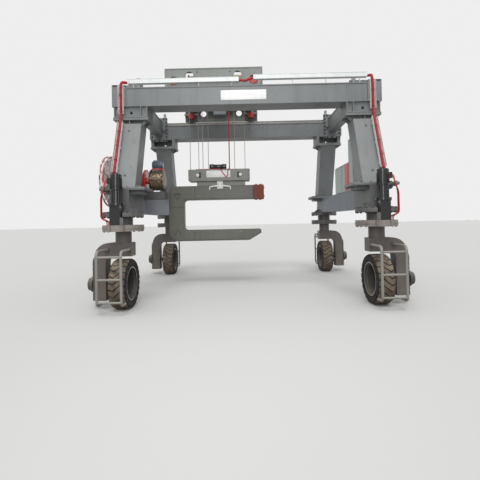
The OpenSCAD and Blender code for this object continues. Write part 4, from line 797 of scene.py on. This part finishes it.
for end_name, end in (("front", -1), ("rear", 1)):
    for side_name, side in (("left", -1), ("right", 1)):
        corner = f"{end_name}_{side_name}"
        steer, wheel = "steer_" + corner, "wheel_" + corner
        x, y = side * TRACK, end * BASE
        finish_nodes(fork_paint, corner + "_fork")
        finish_nodes(guard_grey, corner + "_guard")
        finish_nodes(dark_paint, corner + "_hub_drive")
        finish_nodes(rim_paint, corner + "_rim")
        finish_nodes(tyre_rubber, corner + "_tyre")
        hub_spots = [(FLANGE_OUT, y + a, AXLE_Z + b) for a, b in circle(FLANGE_BOLT_R, 12, 15)]
        hub_spots += [(HUB_OUT, y + a, AXLE_Z + b) for a, b in circle(HUB_BOLT_R, 6)]
        hub_spots += [(CASE_OUT, y + dy, z) for dy in CASE_BOLT_Y for z in CASE_BOLT_Z]
        hub_places = [((x + side * out, y_bolt, z), (side, 0, 0)) for out, y_bolt, z in hub_spots]
        bolts(corner + "_hub_bolts", hub_places, HUB_BOLT, bolt_steel, steer)
        nut_places = [((x + side * RIM_HUB_X, y + a, AXLE_Z + b), (-side, 0, 0))
                      for a, b in circle(NUT_R, 10)]
        bolts(corner + "_wheel_nuts", nut_places, WHEEL_NUT, bolt_steel, wheel)
        walls = []
        for inner in (-1, 1):
            for r, half in WALL_RIBS:
                wall = WALL_OUT + (r - WALL_R) * WALL_SLOPE
                sunk, proud = (side * inner * (wall + off) for off in (-RIB_SUNK, RIB_PROUD))
                profile = [(sunk, 0, r - half), (proud, 0, r - half * RIB_FLAT),
                           (proud, 0, r + half * RIB_FLAT), (sunk, 0, r + half)]
                rib = swept(profile, "X", 96)
                rib.data.transform(Matrix.Translation((x, y, AXLE_Z)))
                walls.append(rib)
        settle(joined(walls), corner + "_tyre_wall_ribs", tyre_rubber, wheel, 60)

# Cable reel and its drive
# A spring-free cable reel: a white painted drum in two spoked frames, outside the left sill, turned
# through a red cone and a finned magnetic coupling by a small motor, all on brackets on the sill.
REEL_Y, REEL_Z = -1.220, 2.730
SADDLE_Z, CAGE_R, RED_RIM_R = (REEL_Z + 0.283, REEL_Z + 0.282), (0.2245, 0.226), (0.560, 0.568)
drive_red = painted("drive_red", srgb(218, 36, 28), under=srgb(222, 176, 172), chips=0.35, dusty=0.25,
                    rough=0.3, coat=0.5, gloss=0.12)
motor_blue = painted("motor_blue", srgb(84, 100, 116), chips=0.5, dusty=0.4, rough=0.36, coat=0.2)
reel_motor_blue = tinted(painted("reel_motor_blue", srgb(84, 100, 116), chips=0.5, dusty=0.2, rough=0.36,
                                 coat=0.2),
                         lambda tree: ramp(tree, axes(tree)["Z"], *SADDLE_Z),
                         srgb(206, 40, 44))


def from_reel_axis(tree):
    """The distance from the axis that the reel and its drive turn about."""
    return reach(tree, maths(tree, "SUBTRACT", axes(tree)["Y"], REEL_Y),
                 maths(tree, "SUBTRACT", axes(tree)["Z"], REEL_Z))


bronze = tinted(painted("coupling_bronze", srgb(140, 124, 102), under=srgb(200, 188, 164), chips=1.0,
                        dusty=0.3, metal=0.5, rough=0.36, patches=0.5),
                lambda tree: ramp(tree, from_reel_axis(tree), *CAGE_R), srgb(34, 33, 32))
finish_nodes(dark_paint, "reel_stand")
finish_nodes(drive_red, "reel_drive")
finish_nodes(reel_motor_blue, "reel_motor")
finish_nodes(bronze, "reel_coupling")

# The reel's white paint is speckled and blotched with red, and its rim is red.
reel_white, tree = new_finish("reel_white")
place = put(tree, "TexCoord", {}).outputs["Object"]
rim_band = maths(tree, "MULTIPLY", ramp(tree, from_reel_axis(tree), *RED_RIM_R),
                 noise(tree, place, 7.0, 5.0, 0.42, 0.54))
speckle = noise(tree, place, 16.0, 6.0, 0.40, 0.62)
blotch = maths(tree, "MULTIPLY", noise(tree, place, 5.0, 5.0, 0.56, 0.66), 0.45)
disc_tone = mixed(tree, speckle, srgb(238, 238, 237), srgb(186, 180, 178))
disc_tone = mixed(tree, blotch, disc_tone, srgb(206, 120, 120))
surfaced(tree, mixed(tree, rim_band, disc_tone, srgb(182, 48, 52)),
         maths(tree, "ADD", maths(tree, "MULTIPLY", speckle, 0.3), 0.35),
         speckle, rounding=0.004, strength=0.3, depth=0.004)
finish_nodes(reel_white, "cable_reel")

# The cable wound on the reel
# Flat turns of the supply cable lie between the spokes, seen from both sides of the drum. Its
# sheath is white with red worn through.
TURN_PLANES, TURN_D = (-3.272, -3.228), 0.024
TURN_COUNT, FIRST_TURN_R, TURN_STEP = 14, 0.178, 0.0252
turns = []
for x in TURN_PLANES:
    for i in range(TURN_COUNT):
        r = FIRST_TURN_R + i * TURN_STEP
        turn = swept([(x + a, 0, r + b) for a, b in circle(TURN_D / 2, 6)], "X", 64)
        turn.data.transform(Matrix.Translation((0, REEL_Y, REEL_Z)))
        turns.append(turn)
wrap_white = painted("wrap_white", srgb(248, 245, 244), under=srgb(176, 92, 92), chips=1.0, dusty=0.1,
                     patches=0.1, rough=0.25)
settle(joined(turns), "wound_cable", wrap_white, "reel", 60)

# Small parts of the reel's drive
# Bolts round the red disc and the stand's foot, and cooling ribs on the blue motor.
DRIVE_FACE, DRIVE_BOLT_R, DRIVE_BOLT = -2.384, 0.245, 0.012
STAND_X, STAND_Y, STAND_TOP, STAND_BOLT = (-2.69, -2.45), (-0.165, 0.165), SILL_TOP + 0.024, 0.014
REEL_MOTOR_Z, REEL_MOTOR_RIB = REEL_Z + 0.3633, ((-2.248, -0.002, 0.086), (-2.072, 0.002, 0.099))
drive_places = [((DRIVE_FACE, REEL_Y + a, REEL_Z + b), (1, 0, 0)) for a, b in circle(DRIVE_BOLT_R, 12)]
bolts("reel_drive_bolts", drive_places, DRIVE_BOLT, bolt_steel, "root")
stand_places = [((x, REEL_Y + dy, STAND_TOP), UP) for x in STAND_X for dy in STAND_Y]
bolts("reel_stand_bolts", stand_places, STAND_BOLT, bolt_steel, "root")
ribs = fins(*REEL_MOTOR_RIB, 0.0008, (0, REEL_Y, REEL_MOTOR_Z), "X", 30)
settle(joined(ribs), "reel_motor_ribs", motor_blue, "root")

# Electrical cabinets
# Light grey-green sheet steel cabinets on the right sill, with doors that stand proud, hinges, turning
# handles, louvres, and a red cover over the low cabinet's front end.
DOORS = [(-1.485, -1.185, 3.575), (-1.155, -0.590, 3.055), (-0.560, 0.005, 3.055)]
DOOR_FOOT, LOCK_IN, LOCK_T, LOCK_HALF_Y, LOCK_HALF_Z = 2.455, 0.06, 0.014, 0.015, 0.075
HANDLE_X, HANDLE_HALF_Y, HANDLE_Z, SPINDLE_X, SPINDLE_Z = (0.024, 0.036), 0.012, (-0.07, 0.045), 0.012, 0.03
HINGE_IN, HINGE_OUT, HINGE_D, HINGE_HALF = 0.08, 0.004, 0.02, 0.035
LOUVRES, LOUVRE_LOW, LOUVRE_STEP, LOUVRE_H = 8, 0.07, 0.022, 0.012
LOUVRE_X, LOUVRE_Y = (-0.002, 0.005), (0.10, -0.14)
COVER = ((-1.150, 2.425), (-0.850, 3.080))
UPRIGHT_SEAMS = ((-0.585, 3.07), (0.02, 3.07), (-1.485, 3.59), (-1.185, 3.59))
LEVEL_SEAMS = ((-1.485, -1.185, 3.58), (-0.845, 0.02, 3.062))
SEAM_W, SEAM_FOOT = 0.008, 2.44
cabinet_grey = painted("cabinet_grey", srgb(168, 180, 176), under=srgb(120, 124, 122), chips=0.35,
                       dusty=0.35, patches=0.1, rough=0.4)
cover_red = painted("cover_red", srgb(214, 48, 66), chips=0.2, dusty=0.2, patches=0.12, rough=0.36)
tie_black = painted("tie_black", srgb(30, 30, 32), chips=0.1, dusty=0.3)
finish_nodes(cabinet_grey, "electrical_cabinets")
cabinet_low, cabinet_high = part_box("electrical_cabinets")
inner, outer = cabinet_low.x, cabinet_high.x
fittings, louvres = [], []
for y0, y1, door_top in DOORS:
    y, z = y1 - LOCK_IN, (DOOR_FOOT + door_top) / 2
    low, high = (outer, y - LOCK_HALF_Y, z - LOCK_HALF_Z), (outer + LOCK_T, y + LOCK_HALF_Y, z + LOCK_HALF_Z)
    fittings.append(block(low, high, 0.004))
    fittings.append(rod((outer + SPINDLE_X, y, z + SPINDLE_Z), (outer + HANDLE_X[1], y, z + SPINDLE_Z),
                        2 * HANDLE_HALF_Y, 0.003))
    fittings.append(block((outer + HANDLE_X[0], y - HANDLE_HALF_Y, z + HANDLE_Z[0]),
                          (outer + HANDLE_X[1], y + HANDLE_HALF_Y, z + HANDLE_Z[1]), 0.004))
    for z in (DOOR_FOOT + HINGE_IN, door_top - HINGE_IN):
        x, y = outer + HINGE_OUT, y0 + HINGE_OUT
        fittings.append(rod((x, y, z - HINGE_HALF), (x, y, z + HINGE_HALF), HINGE_D))
    for i in range(LOUVRES):
        z = DOOR_FOOT + LOUVRE_LOW + i * LOUVRE_STEP
        louvres.append(block((outer + LOUVRE_X[0], y0 + LOUVRE_Y[0], z),
                             (outer + LOUVRE_X[1], y1 + LOUVRE_Y[1], z + LOUVRE_H), 0.002))
settle(joined(fittings), "cabinet_fittings", tie_black, "root")
settle(joined(louvres), "cabinet_louvres", cabinet_grey, "root")
cover = block((inner - 0.006, *COVER[0]), (inner, *COVER[1]), 0.002)
settle(cover, "cabinet_red_cover", cover_red, "root")
seam_spans = [((y - SEAM_W / 2, SEAM_FOOT), (y + SEAM_W / 2, z)) for y, z in UPRIGHT_SEAMS]
seam_spans += [((y0, z), (y1, z + SEAM_W)) for y0, y1, z in LEVEL_SEAMS]
seams = [block((inner - 0.003, *low), (inner + 0.001, *high), 0.001) for low, high in seam_spans]
settle(joined(seams), "cabinet_seams", tie_black, "root")

# Trolley
# A welded frame of two side panels and cross beams that runs on four flanged wheels. The wheels' red
# hubs show through holes in the panels, and red caps close their bearings on the inner side.
TROLLEY_X, WHEEL_X, WHEEL_Z, PANEL_Y, PANEL_TOP = -0.745, 0.9225, 5.003, 1.472, 5.291
HUB_FACE, HUB_RING, CAP_FACE, CAP_RING, WHEEL_BOLT = 1.446, 0.058, 1.234, 0.064, 0.010
EDGE_X, EDGE_STEP, EDGE_Y, STUD_X, STUD_Z, PANEL_BOLT = -1.04, 0.26, 1.30, (-0.375, 0.375), 5.20, 0.016
RED_HUB_R = (0.090, 0.093)
trolley_paint = painted("trolley_paint", srgb(132, 136, 132), chips=0.4, dusty=0.4)
box_pale = painted("box_pale", srgb(186, 197, 204), chips=0.3, dusty=0.2)


def from_trolley_wheel(tree):
    """The distance from the axis of the nearest trolley wheel."""
    from_middle = maths(tree, "ABSOLUTE", maths(tree, "SUBTRACT", axes(tree)["X"], TROLLEY_X))
    return reach(tree, maths(tree, "SUBTRACT", from_middle, WHEEL_X),
                 maths(tree, "SUBTRACT", axes(tree)["Z"], WHEEL_Z))


wheel_red = tinted(painted("wheel_red", srgb(214, 62, 56), under=BARE, chips=0.4, dusty=0.2, rough=0.4),
                   lambda tree: ramp(tree, from_trolley_wheel(tree), *RED_HUB_R), srgb(74, 70, 66))
finish_nodes(trolley_paint, "front_side_panel", "rear_side_panel")
finish_nodes(frame_paint, "trolley_frame")
finish_nodes(box_pale, "trolley_box")
finish_nodes(wheel_red, "left_trolley_wheels", "right_trolley_wheels")
for name, side in (("left", -1), ("right", 1)):
    places = []
    x = TROLLEY_X + side * WHEEL_X
    for end in (-1, 1):
        places += [((x + a, end * HUB_FACE, WHEEL_Z + b), (0, end, 0)) for a, b in circle(HUB_RING, 6)]
        places += [((x + a, end * CAP_FACE, WHEEL_Z + b), (0, -end, 0)) for a, b in circle(CAP_RING, 6, 30)]
    body = "trolley_wheels_" + name
    bolts(name + "_trolley_wheel_bolts", places, WHEEL_BOLT, bolt_steel, body)

panel_places = []
for end in (-1, 1):
    panel_places += [((TROLLEY_X + EDGE_X + i * EDGE_STEP, end * EDGE_Y, PANEL_TOP), UP) for i in range(9)]
    panel_places += [((TROLLEY_X + dx, end * PANEL_Y, STUD_Z), (0, end, 0)) for dx in STUD_X]
bolts("trolley_panel_bolts", panel_places, PANEL_BOLT, bolt_steel, "trolley")

# Hoist
# A grooved rope drum between two pedestals, with the rope wound on both ends, and the hoist's finned
# motor and gear case behind it.
DRUM_Z, DRUM_R, ROPE_D, TURNS, ROPE_PITCH, DRUM_END = 5.521, 0.180, 0.016, 14, 0.019, 0.720
ROPE_SUNK, ROPE_STEPS = 0.004, 32
HOIST_Y, HOIST_Z = 0.710, 5.495
HOIST_RIB = ((-0.290, -0.003, 0.147), (0.245, 0.003, 0.168))
TERMINAL_BOX = ((-0.10, -0.09, 0.16), (0.12, 0.09, 0.225))
CASE_FACES, CASE_BOLT_R, PEDESTAL_OUT, BEARING_BOLT_R = ((-0.620, -1), (-0.300, 1)), 0.207, 0.890, 0.062
CASE_BOLT = 0.011
rope_steel = painted("rope_steel", srgb(152, 152, 146), under=srgb(80, 76, 68), chips=0.4, dusty=0.2,
                     metal=0.3, rough=0.45, rounding=0.001)
greased_rope = painted("greased_rope", srgb(168, 154, 120), under=srgb(84, 76, 58), chips=0.3, dusty=0.2,
                       rough=0.4, rounding=0.001)
finish_nodes(dark_paint, "rope_drum")
finish_nodes(motor_blue, "hoist_gear")
coils = []
for side in (-1, 1):
    start, centre = DRUM_END - TURNS * ROPE_PITCH, DRUM_R - ROPE_SUNK + ROPE_D / 2
    section = [(side * (start + a), 0, centre + b) for a, b in circle(ROPE_D / 2, 8)]
    coil = swept(section, "X", ROPE_STEPS * TURNS, 2 * math.pi * TURNS, side * ROPE_PITCH * TURNS)
    coil.data.transform(Matrix.Translation((TROLLEY_X, 0, DRUM_Z)))
    coils.append(coil)
settle(joined(coils), "drum_rope", greased_rope, "drum", 60)

hoist_motor = Vector((TROLLEY_X, HOIST_Y, HOIST_Z))
ribs = fins(*HOIST_RIB, 0.001, hoist_motor, "X", 40)
ribs.append(block(*[hoist_motor + Vector(corner) for corner in TERMINAL_BOX], 0.006))
settle(joined(ribs), "hoist_motor_ribs", motor_blue, "trolley")
case_places = []
for face, way in CASE_FACES:
    case_places += [((TROLLEY_X + face, HOIST_Y + a, HOIST_Z + b), (way, 0, 0))
                    for a, b in circle(CASE_BOLT_R, 9, step=22.5)]
for side in (-1, 1):
    case_places += [((TROLLEY_X + side * PEDESTAL_OUT, a, DRUM_Z + b), (side, 0, 0))
                    for a, b in circle(BEARING_BOLT_R, 6)]
bolts("hoist_case_bolts", case_places, CASE_BOLT, bolt_steel, "trolley")

# Rope falls
# Six falls of steel wire rope and one red cable hang from the drum to the hook block, each one a
# twisted rope. The two on the right have more grease on them.
BLOCK_TOP, ROPE_Y = 3.130, 0.1883
FALL_X = (-0.758, -0.577, -0.422, -0.310, 0.425, 0.705)
LEAD_X, LEAD_Y, LEAD_D = 0.283, -ROPE_Y - 0.007, 0.030
ROPE_LOBES, ROPE_LAY, LEAD_LOBES, LEAD_LAY = 6, 0.11, 3, 0.3


def twisted(x, y, diameter, lobes, lay):
    """A rope of round strands from the block to the drum, twisted once per lay."""
    count, length = lobes * 4, DRUM_Z - BLOCK_TOP
    radii = [diameter / 2 * (1 - 0.16 * (0.5 - 0.5 * math.cos(2 * math.pi * k / 4))) for k in range(count)]
    section = [(r * a, r * b, 0) for r, (a, b) in zip(radii, circle(1, count))]
    rope = swept(section, "Z", max(24, round(length / lay * 16)), 2 * math.pi * length / lay, length)
    rope.data.transform(Matrix.Translation((TROLLEY_X + x, y, BLOCK_TOP)))
    return rope


def follow_hoist(piece, name, finish):
    """Finishes a fall and bakes its place into its mesh."""
    finished(piece, name, finish, 60)
    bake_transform(piece)
    return piece


falls = [twisted(x, ROPE_Y if i % 2 else -ROPE_Y, ROPE_D, ROPE_LOBES, ROPE_LAY)
         for i, x in enumerate(FALL_X)]
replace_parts(follow_hoist(joined(falls[:4]), "left_rope_falls", rope_steel), "hoist_ropes")
follow_hoist(joined(falls[4:]), "right_rope_falls", greased_rope)
lead = twisted(LEAD_X, LEAD_Y, LEAD_D, LEAD_LOBES, LEAD_LAY)
follow_hoist(lead, "hook_lead", cable_red)

# Hook block
# A long welded block with a sheave pin at each end, white caps on the pins, a bare white plate between
# them, and a slim black motor lying on top with the red cable looped over it.
BLOCK_FACE, PIN_X, PIN_Z = 0.200, 0.570, 2.975
PIN_CAP, PIN_NUT = (0.018, 0.026, 0.084, 40), (0.024, 0.034, 0.030, 24)
SLOT_X, SLOT_FACE, SLOT_HALF_X, SLOT_Z = PIN_X - 0.062, 0.186, 0.022, (2.902, 3.048)
BLOCK_PLATE = ((-1.083, 2.912), (-0.443, 3.094))
BLOCK_MOTOR_Z = 3.216
BLOCK_MOTOR = ((-0.266, -0.144, 0.158), (0.071, 0.193, 0.158), (-0.146, 0.073, 0.122))
BLOCK_MOTOR_RIB = ((-0.142, -0.002, 0.056), (0.069, 0.002, 0.068))
SIDE_BOLT_X, SIDE_BOLT_Z = (-0.78, 0.78), (2.86, 2.975, 3.09)
TOP_BOLT_X, TOP_BOLT_Y, BLOCK_BOLT = (-0.72, -0.5, 0.55, 0.78), (-0.09, 0.09), 0.012
block_grey = painted("block_grey", srgb(134, 134, 128), chips=0.5, dusty=0.5)
finish_nodes(block_grey, "hook_block")
finish_nodes(cable_red, "hook_cable")
pins, slot_shade_plates = [], []
for side in (-1, 1):
    for end in (-1, 1):
        x = TROLLEY_X + side * PIN_X
        for near, far, width, sides in (PIN_CAP, PIN_NUT):
            ends = [(x, end * (BLOCK_FACE + off), PIN_Z) for off in (near, far)]
            pins.append(rod(*ends, width, 0.003, sides))
        # A dark plate inside each keeper slot stands for the shade in it: painted shade.
        x, y = TROLLEY_X + side * SLOT_X, end * SLOT_FACE
        low, high = (x - SLOT_HALF_X, y - 0.002, SLOT_Z[0]), (x + SLOT_HALF_X, y + 0.002, SLOT_Z[1])
        slot_shade_plates.append(block(low, high, 0.001))
settle(joined(pins), "hook_pin_caps", white_plate, "hook")
settle(joined(slot_shade_plates), "hook_keeper_slot_shade", tie_black, "hook")
(plate_x0, plate_z0), (plate_x1, plate_z1) = BLOCK_PLATE
hook_plate = block((plate_x0, -BLOCK_FACE - 0.004, plate_z0), (plate_x1, -BLOCK_FACE, plate_z1), 0.001)
settle(hook_plate, "hook_plate", white_plate, "hook")
block_motor = [rod((TROLLEY_X + x0, 0, BLOCK_MOTOR_Z), (TROLLEY_X + x1, 0, BLOCK_MOTOR_Z), width, 0.006, 40)
               for x0, x1, width in BLOCK_MOTOR]
block_motor += fins(*BLOCK_MOTOR_RIB, 0.0008, (TROLLEY_X, 0, BLOCK_MOTOR_Z), "X", 16)
settle(joined(block_motor), "hook_block_motor", motor_black, "hook")
block_places = [((TROLLEY_X + x, end * BLOCK_FACE, z), (0, end, 0))
                for end in (-1, 1) for x in SIDE_BOLT_X for z in SIDE_BOLT_Z]
block_places += [((TROLLEY_X + x, y, BLOCK_TOP), UP) for x in TOP_BOLT_X for y in TOP_BOLT_Y]
bolts("hook_block_bolts", block_places, BLOCK_BOLT, bolt_steel, "hook")

# Bracket between the block and the C-hook
# White painted steel: a centre block with two bent side arms on each side of the hook's upper arm.
BRACKET_X, BRACKET_FACE, BRACKET_BOLT = TROLLEY_X + 0.018, 0.1623, 0.013
BRACKET_BOLTS = ((-0.05, 2.73), (0.05, 2.73), (-0.05, 2.655), (0.05, 2.655))
bracket_white = painted("bracket_white", srgb(244, 244, 240), under=RUST, chips=0.3, dusty=0.12,
                        streaks=0.08, patches=0.08, rough=0.42)
finish_nodes(bracket_white, "hook_bracket")
bracket_places = [((BRACKET_X + dx, end * BRACKET_FACE, z), (0, end, 0))
                  for end in (-1, 1) for dx, z in BRACKET_BOLTS]
bolts("bracket_bolts", bracket_places, BRACKET_BOLT, bolt_steel, "hook")

# C-hook
# Thick steel plate with set-in cheeks welded along their edges, painted greenish grey and scratched
# where coils touch it, with two small triangles and a bar marked in dark lines on its back.
CHEEK, MARK_W, MARK_T = 0.120, 0.012, 0.0025
UPPER_MARK = [(-1.965, 2.475), (-1.795, 2.475), (-1.88, 2.345), (-1.965, 2.475)]
LOWER_MARK = [(-1.965, 1.395), (-1.88, 1.53), (-1.795, 1.395)]
BAR_MARK = [(-1.965, 2.50), (-1.795, 2.50)]
hook_paint = painted("hook_paint", srgb(104, 104, 97), under=srgb(146, 144, 134), chips=0.7, dusty=0.35,
                     streaks=0.22)
mark_dark = painted("mark_dark", srgb(40, 41, 39), chips=0.2, dusty=0.2)
finish_nodes(hook_paint, "c_hook")


def line_mark(points):
    """Flat strips from point to point in x and z, just proud of the hook's front cheek."""
    strips = []
    for (x0, z0), (x1, z1) in zip(points, points[1:]):
        low = (-MARK_W / 2, -CHEEK - MARK_T, -MARK_W / 2)
        high = (math.hypot(x1 - x0, z1 - z0) + MARK_W / 2, -CHEEK, MARK_W / 2)
        strip = block(low, high, 0.0008)
        turn = Matrix.Rotation(-math.atan2(z1 - z0, x1 - x0), 4, "Y")
        strip.data.transform(Matrix.Translation((x0, 0, z0)) @ turn)
        strips.append(strip)
    return strips


marks = [strip for mark in (UPPER_MARK, LOWER_MARK, BAR_MARK) for strip in line_mark(mark)]
settle(joined(marks), "hook_marks", mark_dark, "hook")

# Counterweight
# Cast iron plates with a rusty skin, clamped to the end of the upper arm by four long bolts.
WEIGHT_BOLT_Y, WEIGHT_BOLT_IN, WEIGHT_BOLT = (-0.09, 0.09), 0.09, 0.020
rusty_iron = painted("rusty_iron", srgb(126, 74, 60), under=srgb(156, 92, 66), dust=srgb(136, 98, 80),
                     chips=0.9, dusty=0.5, patches=0.4, rough=0.75, bump=0.4)
finish_nodes(rusty_iron, "counterweight")
weight_low, weight_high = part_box("counterweight")
weight_places = [((weight_high.x, y, z), (1, 0, 0)) for y in WEIGHT_BOLT_Y
                 for z in (weight_low.z + WEIGHT_BOLT_IN, weight_high.z - WEIGHT_BOLT_IN)]
bolts("counterweight_bolts", weight_places, WEIGHT_BOLT, bolt_steel, "hook")
